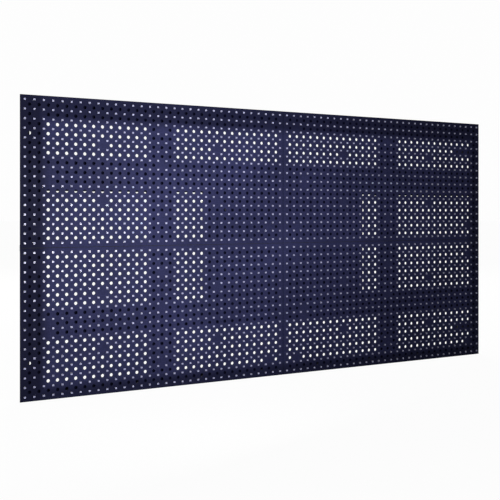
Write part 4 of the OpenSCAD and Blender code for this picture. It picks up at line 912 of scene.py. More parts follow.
def rivet_places():
    """Rivets through the frame's face, and rivets through duct walls as x, y, z and the way they
    point. All follow from where the rails, uprights, ducts and the centre plate meet."""
    left, right = corners("left_rail"), corners("right_rail")
    top, bottom = corners("top_rail"), corners("bottom_rail")
    long, width, leg, wall = 24, 12, 13, 1.5
    gusset, arm = 16, 52
    upright, slot, plate_edge = 2.94 * PITCH, 20, 15
    side = (upright + slot) / 4
    z_in = (corners("uprights_top")[1][2], corners("uprights_bottom")[0][2])
    uprights = (-16 * PITCH, 16 * PITCH)
    ducts = (UPPER_DUCT[:, 2], LOWER_DUCT[:, 2])
    both = (-1, 1)
    face = [(x + s * side, z + t * long / 4) for x in uprights for z in z_in for s in both for t in both]
    face += [(x + t * long / 4, d[1] - wall - width / 2 - 3)
             for d in ducts for x in UPPER_DUCT[:, 0] for t in both]
    for x, a in ((left[0][0] + SHEET, 1), (right[1][0] - SHEET, -1)):
        for z, b in ((top[1][2] - SHEET, -1), (bottom[0][2] + SHEET, 1)):
            face += [(x + a * u, z + b * gusset / 2) for u in (gusset * 0.45, arm - 6)]
            face.append((x + a * gusset / 2, z + b * (arm - 6)))
    ends = [(x, d[k], 1 if k else -1) for x in uprights for d in ducts for k in (0, 1)]
    face += [(x + s * side, z + way * leg * 0.6) for x, z, way in ends for s in both]
    height = Y_BACK + leg * 0.6
    walls = [(x + s * side, height, z, way) for x, z, way in ends for s in both]
    clear = 50
    plate_x = (UPPER_GATES[0] - clear, UPPER_GATES[0] + clear, LOWER_GATE + clear,
               PLATE[1][0] - plate_edge)
    walls += [(x, height, PLATE[k][2], -1 if k else 1) for x in plate_x for k in (0, 1)]
    return [(x, Y_FACE, z) for x, z in face], np.array(walls)


# ---------------------------------------------------------------- sheetwork

class DISPLAY_OT_sheetwork(bpy.types.Operator):
    """Powder coat on the rails, uprights, ducts, covers and plates, and the covers' screws"""
    bl_idname = "display.sheetwork"
    bl_label = "Sheetwork"

    def execute(self, context):
        dress("frame coat", "left_rail", "right_rail", "top_rail", "bottom_rail", "uprights_top",
              "uprights_middle", "uprights_bottom", "upper_duct", "lower_duct", "duct_covers",
              "centre_plate", "joint_plates", "cleats")
        dress("sponge", "seam_strips")
        low, high = corners("duct_covers")
        end, edge, along = 20, 8, 7
        spots = [(x, high[1], z) for duct in (UPPER_DUCT, LOWER_DUCT)
                 for z in (duct[1][2] - edge, duct[0][2] + edge)
                 for x in np.linspace(low[0] + end, high[0] - end, along)]
        Shell().repeat(SMALL_HEAD, spots, "+y").piece("cover_screws", "zinc", "plated_steel")
        self.grommets()
        self.edge_trim()
        return {"FINISHED"}

    def grommets(self):
        """Rubber edging round every gate between a duct and the box: a bead carried round a rounded
        rectangle in the plane of the wall."""
        half, bead, clear = 22, 0.9, 0.5
        gates = [(x, TRAY[1][2] - BOX_SHEET / 2) for x in UPPER_GATES]
        gates.append((LOWER_GATE, TRAY[0][2] + BOX_SHEET / 2))
        low, high = Y_FLOOR + clear + bead, UPPER_DUCT[1][1] + clear - bead
        reach = half - bead
        shell = Shell()
        for x, z in gates:
            stops = [(x + across, y, z) for across, y in (
                (0, low), (reach, low), (reach, high), (-reach, high), (-reach, low), (0, low))]
            shell.add(tube(rounded_route(stops, 2.5, 5), bead, 8))
        shell.piece("gate_edging", "sponge", "rubber")

    def edge_trim(self):
        """Slim U-shaped trim clipped over the front edge of the upper duct's lower wall, on both
        sides of the centre plate: two legs and a web for each length. The ends are counted in cells
        from the middle of the cabinet, and the last number says how much of the drop shows."""
        drop, reach, leg, web = 1.6, 6, 0.8, 0.6
        z, y = UPPER_DUCT[0][2], Y_FACE + 0.05
        pairs = []
        for first, last, hang in ((-29, -17, 0.5), (16.4, 30.6, 0.88)):
            a, b, foot = first * PITCH, last * PITCH, z - drop * hang
            pairs += [((a, y, foot), (b, y + leg, z)), ((a, y + reach - leg, foot), (b, y + reach, z)),
                      ((a, y, foot), (b, y + reach, foot + web))]
        Shell().add(blocks(pairs, 0.15)).piece("duct_edge_trim", "sponge", "rubber")


# ---------------------------------------------------------------- control box

class DISPLAY_OT_control_box(bpy.types.Operator):
    """Tray, door, gasket, spacers, hinges and latches of the control box"""
    bl_idname = "display.control_box"
    bl_label = "Control box"

    def execute(self, context):
        dress("coat", "box_tray", "box_door")
        dress("sponge", "door_gasket")
        dress("zinc", "hinge_box_leaves", "hinge_door_leaves")
        self.standoffs()
        self.hinges()
        self.latches()
        self.door_dressing()
        return {"FINISHED"}

    def standoffs(self):
        """Spacers between the frame and the box, each with its screw."""
        low, high = corners("box_standoffs")
        r, bore, edge = 5, 2.1, 0.4
        spots = np.array([(x, Y_BACK, z) for x in (low[0] + r, high[0] - r)
                          for z in (low[2] + r, high[2] - r)])
        gap = TRAY[0][1] - Y_BACK
        sleeve = turned([(bore, 0), (r - edge, 0), (r, edge), (r, gap - edge), (r - edge, gap), (bore, gap),
                         (bore, 0)])
        shell = Shell().repeat(sleeve, spots, "+y").repeat(rod(2, -SHEET, gap + BOX_SHEET, 16), spots, "+y")
        shell.repeat(SCREW_HEAD, spots + [0, gap + BOX_SHEET, 0], "+y")
        shell.piece("box_spacers", "zinc", "plated_steel", stands_for="box_standoffs")

    def hinges(self):
        """Headed hinge pins, and countersunk screws in the leaves on the box's side wall."""
        centre = corners("hinge_pins").mean(axis=0)
        half, r, cap = 24, 2, 2.8
        end = [(r, half), (cap, half), (cap, half + 0.4), (cap * 0.7, half + 0.9), (0, half + 1)]
        pin = turned([(radius, -height) for radius, height in end[::-1]] + end)
        Shell().repeat(pin, [centre - (0, 0, HINGE_RISE), centre + (0, 0, HINGE_RISE)], "+z").piece(
            "hinge_pins_headed", "tinned", "plated_steel", stands_for="hinge_pins")
        leaf = corners("hinge_box_leaves")
        middle, step = (leaf[0][2] + leaf[1][2]) / 2, 16
        spots = [(TRAY[0][0] - 1.6, leaf[0][1] + 5, middle + s * HINGE_RISE + t * step)
                 for s in (-1, 1) for t in (-1, 0, 1)]
        Shell().repeat(pan_head(2.6, 0.8, 1.0, 0.6), spots, "-x").piece(
            "hinge_screws", "tinned", "plated_steel")

    def latches(self):
        """Key-operated cam latches: a turned bezel on the door, and a barrel with a slotted insert,
        a retaining nut and a cranked cam on each latch's own body."""
        low, high = corners("latch_bezels")
        r_out, r_hole, r, cam, cam_half = 11, 7.08, 7, 2.5, 4.5
        tall = high[1] - low[1]
        bezel = turned([(r_hole, 0), (r_out, 0), (r_out, tall * 0.35), (r_out * 0.95, tall * 0.7),
                        (r_out * 0.82, tall), (r_hole + 0.5, tall), (r_hole, tall - 0.4), (r_hole, 0)], 40)
        centres = [(low[0] + r_out, low[1], z) for z in (low[2] + r_out, high[2] - r_out)]
        Shell().repeat(bezel, centres, "+y").piece(
            "latch_bezels_turned", "zinc", "plated_steel", "door", "latch_bezels")
        nut = turned([(0, -1.2), (2.9, -1.2), (3.4, -0.8), (3.4, 0), (0, 0)], 6)
        slot = blocks(slab(0.9, 4.6, 0, 0.12), 0.05)
        for name, (x, _, z) in zip(("latch_lower", "latch_upper"), centres):
            (_, foot, _), (_, top, reach) = corners(name)
            base = foot + cam
            long = top - base
            barrel = turned([(0, 0), (r - 0.5, 0), (r, 0.5), (r, long - 0.5), (r - 0.5, long),
                             (r - 1.4, long), (r - 1.6, long - 0.5), (0, long - 0.5)], 32)
            shell = Shell().repeat(barrel, [(x, base, z)], "+y")
            shell.repeat(slot, [(x, top - 0.5, z)], "+y", 1)
            shell.add(blocks(((x - cam_half, foot, z - cam_half), (x + cam_half, base - 0.02, reach)), 0.5))
            shell.repeat(nut, [(x, foot, z)], "+y")
            shell.piece(name + "_cam_lock", "zinc, epoxy", "plated_steel", name, name)

    def door_dressing(self):
        """A shallow pressed panel on the door's outer face: a grid whose height is a smooth step of
        the distance from its rounded border."""
        low, high = DOOR
        margin, rise, radius, ramp, lift, sink = 24, 0.9, 14, 3, 0.02, 0.4
        x0, x1 = low[0] + margin, high[0] - 2 * margin
        z0, z1 = low[2] + margin, high[2] - margin
        across, up = 97, 61
        x, z = np.meshgrid(np.linspace(x0, x1, across), np.linspace(z0, z1, up), indexing="ij")
        cx, cz = (x0 + x1) / 2, (z0 + z1) / 2
        dx = np.maximum(np.abs(x - cx) - ((x1 - x0) / 2 - radius), 0)
        dz = np.maximum(np.abs(z - cz) - ((z1 - z0) / 2 - radius), 0)
        corner = np.hypot(dx, dz)
        scale = np.minimum(1, radius / np.maximum(corner, 1e-6))
        x = cx + np.sign(x - cx) * (np.abs(x - cx) - dx + dx * scale)
        z = cz + np.sign(z - cz) * (np.abs(z - cz) - dz + dz * scale)
        inside = np.clip((radius - corner * scale) / ramp, 0, 1)
        face = high[1] + rise * inside * inside * (3 - 2 * inside) + lift
        back = np.full_like(x, high[1] - sink)
        points = np.stack([np.stack([x, y, z], axis=2) for y in (face, back)]).reshape(-1, 3)
        i, j = np.meshgrid(np.arange(across - 1), np.arange(up - 1), indexing="ij")
        a = (i * up + j).ravel()
        top = np.stack([a, a + 1, a + up + 1, a + up], axis=1)
        count = across * up
        rim = np.concatenate([
            np.arange(up), up * np.arange(1, across) + up - 1,
            up * (across - 1) + np.arange(up - 2, -1, -1), up * np.arange(across - 2, 0, -1),
        ])
        after = np.roll(rim, -1)
        wall = np.stack([after, after + count, rim + count, rim], axis=1)
        Shell().add((points, [np.concatenate([top, top[:, ::-1] + count, wall])])).piece(
            "door_pressing", "coat", "black_paint", "door", smooth=50)


def round_socket():
    """A round socket about +Z: its bayonet rings, its bore and its barrel behind the wall."""
    barrel, out, bore, reach, depth, flange = 9.9, 11, 8, 14, 11, 2
    ridges = [(out + (0 if k % 2 else -0.5), flange + 1.2 + k * 0.9) for k in range(11)]
    profile = [(0, -9), (barrel, -9), (barrel, 0), (out - 0.5, 0), (out - 0.5, flange)] + ridges
    profile += [(out - 0.3, reach - 0.6), (out - 0.9, reach), (bore + 0.5, reach), (bore, reach - 0.5),
                (bore, reach - depth + 0.1), (0, reach - depth + 0.1)]
    return turned(profile, 48), flange, reach - depth


class DISPLAY_OT_box_fittings(bpy.types.Operator):
    """Round sockets with bayonet rings and contacts, and the test button on the box's right wall"""
    bl_idname = "display.box_fittings"
    bl_label = "Box fittings"

    def execute(self, context):
        low, high = corners("box_sockets")
        wall, half = TRAY[1][0], 13
        spots = np.array([(wall, (low[1] + high[1]) / 2, z)
                          for z in np.linspace(low[2] + half, high[2] - half, 4)])
        socket, flange, floor = round_socket()
        plate = blocks(slab(half, half, 0, flange), 0.7)
        shell = Shell().repeat(socket, spots, "+x").repeat(plate, spots, "+x")
        screw, corner = pan_head(2, 1.1, 0.8, 0.7), 10.6
        for a in (-corner, corner):
            for b in (-corner, corner):
                shell.repeat(screw, spots + [flange, a, b], "+x", 1)
        contact = turned([(0, 0), (0.9, 0), (0.9, 6.2), (0.5, 6.8), (0, 7)], 12)
        for places, radius, angles in ((spots[2:], 4, (90, 210, 330)),
                                       (spots[:2], 4.6, np.arange(22.5, 360, 45))):
            for angle in np.radians(angles):
                shift = [floor, radius * math.cos(angle), radius * math.sin(angle)]
                shell.repeat(contact, places + shift, "+x", 2)
        shell.piece("box_sockets_round", "black moulding, zinc, gold", "black_plastic",
                    stands_for="box_sockets")

        _, y, z = corners("test_button_ring").mean(axis=0)
        radius, hole, sleeve = 7.5, 4.6, 5.9
        bezel = turned([(hole, -8), (sleeve, -8), (sleeve, 0), (radius, 0), (radius, 0.8),
                        (radius - 0.7, 1.8), (radius - 1.2, 2), (hole + 0.3, 2), (hole, 1.7), (hole, -8)], 40)
        Shell().repeat(bezel, [(wall, y, z)], "+x").piece(
            "test_button_bezel", "zinc", "plated_steel", stands_for="test_button_ring")
        foot, top = corners("test_button")[:, 0]
        r, long = 4.5, top - foot
        cap = turned([(0, 0), (r, 0), (r, long - 1.0), (r - 0.35, long - 0.35), (r - 1.0, long),
                      (r - 1.6, long - 0.05), (r - 3, long - 0.35), (0, long - 0.45)], 36)
        Shell().repeat(cap, [(foot, y, z)], "+x").piece(
            "test_button_cap", "button", "red_plastic", "test_button", "test_button")
        return {"FINISHED"}


class DISPLAY_OT_power_supply(bpy.types.Operator):
    """Finishes the power supply's sheet case and its barrier strip"""
    bl_idname = "display.power_supply"
    bl_label = "Power supply"

    def execute(self, context):
        dress("bare sheet", "power_supply_case")
        low, high = TERMINALS
        y, base, wall = low[1], 9, 1
        pairs = [(low, (high[0], y + base, high[2]))]
        for k in range(TERMINAL_COUNT + 1):
            z = low[2] + k * (high[2] - low[2] - wall) / TERMINAL_COUNT
            pairs.append(((low[0], y + base - 0.1, z), (high[0], high[1], z + wall)))
        shell = Shell().add(blocks(pairs, 0.25))
        spots = [((low[0] + high[0]) / 2, y + base + 0.4, low[2] + (k + 0.5) * TERMINAL_STEP)
                 for k in range(TERMINAL_COUNT)]
        shell.repeat(pan_head(2.75, 2.1, 1.1, 1.0), spots, "+y", 1)
        shell.repeat(blocks(slab(5.6, 3.1, -0.4, 0.05), 0.1), spots, "+y", 1)
        shell.piece("terminal_strip", "black moulding, tinned", "black_plastic",
                    stands_for="power_supply_terminals")
        low, high = SUPPLY
        inset = 7
        spots = [(low[0] + inset, high[1], z) for z in (low[2] + inset, high[2] - inset)]
        Shell().repeat(pan_head(2.6, 1.4, 1.0, 0.9), spots, "+y").piece(
            "power_supply_screws", "zinc", "bare_aluminium")
        return {"FINISHED"}


# ---------------------------------------------------------------- cards in the box

def hub_plug_places():
    """Where the four flat cables meet the hub card: x and z."""
    high, low, step = HUB[1][2] - 9, HUB[0][2] + 10, 32
    first = HUB[1][0] - 22
    return [(UPPER_GATES[0], high), (UPPER_GATES[1], high), (first, low), (first - step, low)]


class DISPLAY_OT_cards(bpy.types.Operator):
    """Hub and control cards with sockets, power strips, chips, jacks, a transformer and capacitors"""
    bl_idname = "display.cards"
    bl_label = "Cards"

    def execute(self, context):
        dress("card", "control_card", "hub_card")
        self.groups = {finish: [] for finish in ("dark", "metal", "gold", "clay")}
        self.hub_sockets()
        screws = self.power_strips()
        self.jacks()
        self.control_parts()
        shell = Shell()
        for finish, (pairs, chamfer) in enumerate(zip(self.groups.values(), (0.2, 0.12, 0.08, 0.4))):
            shell.add(blocks(pairs, chamfer), finish)
        shell.repeat(pan_head(2.3, 1.2, 0.9, 0.8), screws, "+y", 1)
        r, h = 3.5, 10
        can = [(0, 0), (r * 0.92, 0), (r, 0.4), (r, 1.2), (r * 0.9, 1.6), (r * 0.9, 2.0), (r, 2.4),
               (r, h - 0.5), (r - 0.5, h)]
        lid = [(r - 0.5, h), (r - 0.8, h - 0.15), (0, h - 0.15)]
        spots = [(CARD[0][0] + 46 + k * 9, Y_CARD_TOP, CARD[1][2] - 12) for k in range(3)]
        shell.repeat(turned(can), spots, "+y", 4).repeat(turned(lid), spots, "+y", 1)
        shell.piece("card_components", "black moulding, tinned, gold, ceramic, sleeve", "black_plastic",
                    stands_for="card_parts", smooth=30)
        self.passives()
        self.posts()
        return {"FINISHED"}

    def box(self, group, x, y, z):
        """A box of one group between two values on each axis, with y above the card."""
        self.groups[group].append(((x[0], Y_CARD_TOP + y[0], z[0]), (x[1], Y_CARD_TOP + y[1], z[1])))

    def hub_sockets(self):
        """Shrouded sockets for the flat cables: a floor, four walls with a key gap, and pins."""
        wall, half_l, half_w, key, half = 1.2, 13.5, 4.5, 2.2, 0.32
        tall = (0, DATA_SOCKET)
        for x, z in hub_plug_places():
            x0, x1, z0, z1 = x - half_l, x + half_l, z - half_w, z + half_w
            self.box("dark", (x0, x1), (0, 2 * wall), (z0, z1))
            self.box("dark", (x0, x1), tall, (z0, z0 + wall))
            self.box("dark", (x0, x0 + wall), tall, (z0, z1))
            self.box("dark", (x1 - wall, x1), tall, (z0, z1))
            self.box("dark", (x0, x - key), tall, (z1 - wall, z1))
            self.box("dark", (x + key, x1), tall, (z1 - wall, z1))
            for k in np.arange(-3.5, 4):
                for s in (-0.5, 0.5):
                    px, pz = x + k * PIN_STEP, z + s * PIN_STEP
                    self.box("gold", (px - half, px + half), (1, 7), (pz - half, pz + half))

    def power_strips(self):
        """Barrier strips of four ways on the hub card. Returns the places of their screws."""
        z, ways, wall, long, base, screws = HUB[0][2] + 20, 4, 1, 34, 7.4, []
        step = (long - wall) / ways
        for start in STRIP_STARTS:
            self.box("dark", (start, start + long), (0, base), (z, z + 12))
            for k in range(ways + 1):
                x = start + k * step
                self.box("dark", (x, x + wall), (base - 0.2, 10), (z, z + 12))
            screws += [(start + (k + 0.5) * step + wall / 2, Y_CARD_TOP + base, z + 6) for k in range(ways)]
        return screws

    def jacks(self):
        """Two shielded network jacks, open to the right, with eight contacts in each."""
        long, inset, wide, top, t, depth, step = 16, 2, 18, 13, 1, 7, 1.26
        x1 = CARD[1][0] - inset
        x0 = x1 - long
        for rise in (14, 36):
            z0 = CARD[0][2] + rise
            z1 = z0 + wide
            self.box("metal", (x0, x0 + t), (0, top), (z0, z1))
            self.box("metal", (x0, x1), (0, t), (z0, z1))
            self.box("metal", (x0, x1), (top - t, top), (z0, z1))
            self.box("metal", (x0, x1), (0, top), (z0, z0 + 2 * t))
            self.box("metal", (x0, x1), (0, top), (z1 - 2 * t, z1))
            self.box("dark", (x0 + t, x0 + depth), (t, top - t), (z0 + 2 * t, z1 - 2 * t))
            for c in range(8):
                z = z0 + 4.6 + c * step
                self.box("gold", (x0 + depth, x1 - 3), (top - 3.4, top - 3), (z - 0.2, z + 0.2))

    def control_parts(self):
        """The control card's processor, its three long chips and its transformer."""
        def middled(group, x, z, y, long, wide):
            """A box over the place x, z, counted from the card's lower left corner."""
            x, z = CARD[0][0] + x, CARD[0][2] + z
            self.box(group, (x - long / 2, x + long / 2), y, (z - wide / 2, z + wide / 2))

        middled("dark", 27, 69, (0.3, 1.2), 26, 26)
        middled("metal", 27, 69, (1.1, 2.2), 20, 20)
        step = 0.8
        for z in (65, 81, 97):
            middled("dark", 55, z, (0.2, 1.4), 12, 10)
            for c in range(14):
                middled("metal", 49.9 + c * step, z, (0, 0.5), 0.4, 11.8)
        middled("clay", 22, 113, (0, 9), 20, 22)
        for bobbin in ((0.6, 2.6), (6.6, 8.4)):
            middled("dark", 22, 113, bobbin, 24, 26)

    def passives(self):
        """Small chip parts in loose rows on each card."""
        spots = []
        for card, left, right, count, rows in ((CARD, 12, 24, 8, (8, 48, 92)), (HUB, 16, 70, 14, (6, 14))):
            along = np.linspace(card[0][0] + left, card[1][0] - right, count)
            spots += [(x, Y_CARD_TOP, card[0][2] + row) for x in along for row in rows]
        small_parts("card_passives", spots, "black_plastic", (0.6, 0.5, 0.02, 0.6), 0.05,
                    (0.95, 0.55, 0.52, 0.64), 0.06)

    def posts(self):
        """Hexagonal posts under the corners of both cards, each with its screw."""
        places = np.array([(x, Y_FLOOR, z) for card, inset in ((CARD, 5), (HUB, 4))
                           for x in (card[0][0] + inset, card[1][0] - inset)
                           for z in (card[0][2] + inset, card[1][2] - inset)])
        lift = Y_CARD_TOP - Y_FLOOR
        shell = Shell().repeat(rod(3, 0, lift - CARD_THICKNESS, 6), places, "+y")
        shell.repeat(pan_head(3, 2, 1.2, 1.1), places + [0, lift, 0], "+y")
        shell.piece("card_posts", "zinc", "plated_steel", stands_for="card_pillars")


# ---------------------------------------------------------------- wiring

Y_RIBBON = Y_BOARD + DATA_SOCKET + PLUG
RIBBON_T = 1.2
Y_HUB_TOP = Y_CARD_TOP + DATA_SOCKET + PLUG
Z_RISE = HUB[1][2] + 5
Z_TURN = HUB[0][2] - 10
Y_OVER = Y_CARD_TOP + 15
Y_TERMINAL = SUPPLY[0][1] + SUPPLY_FOOT + 16
X_SPADE = SUPPLY[1][0] - 2
BEND = 8


def crimped(shell, route, radius, sleeve, length, finishes):
    """A lead and the ferrule on its end: a sleeve over a share of the last step, a little wider."""
    back = np.array([[length], [length / 2], [0.0]])
    shell.add(tube(route, radius), finishes[0])
    shell.add(tube(route[-1] + (route[-2] - route[-1]) * back, radius * sleeve), finishes[1])


class DISPLAY_OT_wiring(bpy.types.Operator):
    """Flat cables with their plugs, pairs of power leads and the mains leads"""
    bl_idname = "display.wiring"
    bl_label = "Wiring"

    def execute(self, context):
        look = context.scene.display_looks
        self.ribbons(look.ribbon_width / MM)
        self.plugs()
        radius = look.lead_diameter / MM / 2
        self.leads("positive_leads_laid", "red sheath", "red_plastic", "positive_leads", 1, radius)
        self.leads("negative_leads_laid", "black sheath", "black_lead", "negative_leads", -1, radius)
        self.mains(radius)
        self.spades()
        return {"FINISHED"}

    def ribbons(self, width):
        """Each flat cable lies along its duct, folds at a slant cut, and rises through its gate."""
        x_axis, z_axis = (1, 0, 0), (0, 0, 1)
        bend, past, short = 3.2, 3, 4
        shell = Shell()

        def lay(stops, across, *cuts):
            route = rounded_route(stops, bend) if len(stops) > 2 else np.array(stops, float)
            shell.add(ribbon(route, across, width, RIBBON_T, cuts), (0, 0, 0, 1))

        plugs = hub_plug_places()
        y, y_top = Y_RIBBON + RIBBON_T / 2, Y_HUB_TOP + RIBBON_T / 2
        for k, (upper, lower) in enumerate(zip(QUARTERS[:2], QUARTERS[2:])):
            x = BOARD_CENTRES[upper][0] + DATA_CELL[0] * PITCH
            z = BOARD_CENTRES[upper][2] + DATA_CELL[1] * PITCH
            gate, end = plugs[k]
            way = 1 if gate > x else -1
            fold = (way, 0, 1)
            lay([(x - way * past, y, z), (gate, y, z)], z_axis, None, fold)
            z_bend = Z_RISE + RIBBON_T / 2
            lay([(gate, y, z), (gate, y, z_bend), (gate, y_top, z_bend), (gate, y_top, end - short)],
                x_axis, fold, None)

            level = y + k * (RIBBON_T + 0.3)
            z = BOARD_CENTRES[lower][2] + DATA_CELL[1] * PITCH
            gate, (end_x, end) = LOWER_GATE, plugs[k + 2]
            way = 1 if gate > x else -1
            fold, turn, back = (way, 0, -1), (1, 0, 1), (-1, 0, -1)
            z_mid, z_bend = Z_TURN - width / 2, Z_TURN - RIBBON_T / 2
            lay([(x - way * past, level, z), (gate, level, z)], z_axis, None, fold)
            lay([(gate, level, z), (gate, level, z_mid)], x_axis, fold, turn)
            lay([(gate, level, z_mid), (end_x, level, z_mid)], z_axis, turn, back)
            lay([(end_x, level, z_mid), (end_x, level, z_bend), (end_x, y_top, z_bend),
                 (end_x, y_top, end + short)], x_axis, back, None)
        shell.piece("ribbon_cables_cored", "ribbon, ribbon mark", "ribbon", stands_for="ribbon_cables",
                    smooth=40)

    def plugs(self):
        """Plugs on the flat cables with a strain bar and side ears, and plugs on the power leads
        with a latch."""
        half_w, half_l, top = 4.5, 11.5, PLUG - 0.5
        pairs = np.array([slab(half_w, half_l, -3, top), slab(half_w - 0.6, half_l - 0.4, top, PLUG)])
        shell = Shell().repeat(blocks(pairs, 0.25), on_boards([DATA_CELL], Y_BOARD + DATA_SOCKET), "+y")
        hub = [(x, Y_CARD_TOP + DATA_SOCKET, z) for x, z in hub_plug_places()]
        shell.repeat(blocks(pairs[..., [1, 0, 2]], 0.25), hub, "+y")
        shell.piece("ribbon_plugs_barred", "black moulding", "black_plastic", stands_for="ribbon_plugs")
        half_w, half_l = 8, 4
        pairs = [slab(half_w - 1, half_l - 1, -4, 0.1), slab(half_w, half_l, 0, PLUG),
                 ((-3, half_l - 0.2, -3), (3, half_l + 0.4, top))]
        Shell().repeat(blocks(pairs, 0.3), on_boards([POWER_CELL], Y_BOARD + POWER_SOCKET), "+y").piece(
            "power_plugs_latched", "ivory moulding", "ivory_plastic", stands_for="power_plugs")

    def leads(self, name, finish, slot, node, side, radius):
        """Round leads through the same stops as their solids, with rounded corners, and a crimped
        ferrule where each enters its strip."""
        pair, socket, drop, sink = 4.8, 17, 5, 6
        offset = side * pair / 2
        y_lead = Y_RIBBON + RIBBON_T + 2 * radius
        y_plug = Y_BOARD + POWER_SOCKET + PLUG - 1
        base = HUB[0][2]
        routes = []
        for k, (upper, lower) in enumerate(zip(QUARTERS[:2], QUARTERS[2:])):
            x = BOARD_CENTRES[upper][0] + side * socket / 4
            run = 9 + (offset if k == 0 else -offset)
            z = BOARD_CENTRES[upper][2] + POWER_CELL[1] * PITCH
            z_run, rise = UPPER_DUCT[0][2] + run, Z_RISE + 5
            gate = UPPER_GATES[k] + 17 + offset
            routes.append([
                (x, y_plug, z), (x, y_lead, z - drop), (x, y_lead, z_run), (gate, y_lead, z_run),
                (gate, y_lead, rise), (gate, Y_OVER, rise), (gate, Y_OVER, base + 36),
                (gate, Y_OVER - sink, base + 28),
            ])
            z = BOARD_CENTRES[lower][2] + POWER_CELL[1] * PITCH
            z_run, turn = LOWER_DUCT[0][2] + run, Z_TURN + 4 - offset
            gate = LOWER_GATE + 14.5 - offset
            strip = STRIP_STARTS[0] + 4 + offset + k * 8
            level = y_lead + k * (2 * radius + 0.4)
            routes.append([
                (x, y_plug, z), (x, level, z - drop), (x, level, z_run), (gate, level, z_run),
                (gate, level, turn), (strip, level, turn), (strip, Y_OVER, turn),
                (strip, Y_OVER, base + 16), (strip, Y_OVER - sink, base + 25),
            ])
        x = SUPPLY[1][0] + 8 - offset
        z = TERMINALS[0][2] + (6.5 + side) * TERMINAL_STEP
        z_strip = base + 26 - offset
        end = STRIP_STARTS[1] + 24
        routes.append([
            (X_SPADE, Y_TERMINAL, z), (x, Y_TERMINAL + 2, z), (x, Y_OVER, z + 4), (x, Y_OVER, z_strip),
            (end + 4, Y_OVER, z_strip), (end, Y_OVER - sink, z_strip),
        ])
        shell = Shell()
        for stops in routes:
            crimped(shell, rounded_route(stops, BEND), radius, 1.15, 0.9, (0, 1))
        shell.piece(name, finish + ", tinned", slot, stands_for=node)

    def mains(self, radius):
        """Three leads from the power sockets to the supply, side by side."""
        y = Y_OVER + 2 * radius + 1
        wall, socket_y = TRAY[1][0], TRAY[0][1] + 28
        middle = (TRAY[0][2] + TRAY[1][2]) / 2
        shell = Shell()
        gap, aside, rise = 4, 11.5, 39
        for k in (-1, 0, 1):
            x = SUPPLY[1][0] + aside - gap * k
            z = middle + rise + gap * k
            z_end = TERMINALS[0][2] + (2.5 + k) * TERMINAL_STEP
            stops = [(wall - 9.5, socket_y, z), (wall - 12, socket_y, z), (wall - 17, y, z), (x, y, z),
                     (x, y, z_end), (X_SPADE, Y_TERMINAL, z_end)]
            crimped(shell, rounded_route(stops, BEND), radius, 1.2, 0.5, (k + 1, 3))
        shell.piece("mains_leads_laid", "brown sheath, blue sheath, green sheath, tinned", "brown_lead",
                    stands_for="mains_leads")

    def spades(self):
        """A crimped tongue where each lead meets a terminal: level out of the sleeve, stepped down,
        then level under the screw."""
        tab, half_w, half_t = TERMINALS[0][1] + 9.9, 2.5, 0.4
        section = ((-half_w, -half_t), (half_w, -half_t), (half_w, half_t), (-half_w, half_t))
        shell = Shell()
        for way in (1.5, 2.5, 3.5, 5.5, 7.5):
            z = TERMINALS[0][2] + way * TERMINAL_STEP
            stops = [(X_SPADE + 0.6, Y_TERMINAL - 0.4, z), (X_SPADE - 1.2, Y_TERMINAL - 0.8, z),
                     (X_SPADE - 2.6, tab, z), (X_SPADE - 9, tab, z)]
            route = rounded_route(stops, 0.8, 4)
            across = np.broadcast_to((0.0, 0.0, 1.0), route.shape)
            out = unit(np.cross(tangents(route), across))
            shell.add(strap(carried(route, across, out, section)))
        shell.piece("terminal_spades", "tinned", "plated_steel")


# ---------------------------------------------------------------- side bolts

class DISPLAY_OT_side_bolts(bpy.types.Operator):
    """Sliding side bolts with knurled knobs, their cast cases, and the keepers on the left"""
    bl_idname = "display.side_bolts"
    bl_label = "Side bolts"

    def execute(self, context):
        dress("cast", "bolt_cases", "keeper_blocks")
        r, nose, long, back = 4, 3.7, 46, 31.5
        shoulder, tip = long - 8.5, long - 1.5
        pin = turned([(0, 0), (r - 0.5, 0), (r, 0.5), (r, shoulder - 0.3), (nose, shoulder), (nose, tip),
                      (nose - 1, long), (0, long)], 40)
        arm, knob, foot, top = 2, 4.5, 12.5, 19.7
        profile = [(0, 0), (arm, 0), (arm, foot), (knob - 0.6, foot), (knob, foot + 0.6)]
        profile += [(knob - (0.28 if k % 2 else 0), foot + 1.2 + 0.5 * k) for k in range(9)]
        profile += [(knob, top - 0.9), (knob - 0.9, top), (0, top)]
        # The knob stands on the bolt at 45 degrees, half way between back and up
        half = math.sqrt(0.5)
        points, faces = turned(profile, 32)
        points = points @ np.array([[1, 0, 0], [0, half, -half], [0, half, half]])
        for name in ("side_bolt_upper", "side_bolt_lower"):
            low, high = corners(name)
            end = np.array([high[0], low[1] + r, low[2] + r])
            shell = Shell().repeat(pin, end - (long, 0, 0), "+x")
            shell.add((points + end - (back, 0, 0), faces))
            shell.piece(name + "_turned", "zinc", "plated_steel", name, name)
        return {"FINISHED"}


# ---------------------------------------------------------------- stage

def white_where_seen(tree, shader, strength, share):
    """Mixes a shader with white that only camera, glossy and transmission rays see."""
    rays = tree.nodes.new("ShaderNodeLightPath").outputs

    def math_node(operation, first, second):
        made = tree.nodes.new("ShaderNodeMath")
        made.operation = operation
        link_or_set(tree, made.inputs[0], first)
        link_or_set(tree, made.inputs[1], second)
        return made.outputs[0]

    seen = math_node("MAXIMUM", rays["Is Camera Ray"], rays["Is Glossy Ray"])
    seen = math_node("MAXIMUM", seen, rays["Is Transmission Ray"])
    white = tree.nodes.new("ShaderNodeEmission" if shader.type != "BACKGROUND" else "ShaderNodeBackground")
    white.inputs["Color"].default_value = (strength, strength, strength, 1)
    mix = tree.nodes.new("ShaderNodeMixShader")
    for index, output in enumerate((math_node("MULTIPLY", seen, share), shader.outputs[0], white.outputs[0])):
        tree.links.new(output, mix.inputs[index])
    return mix.outputs[0]


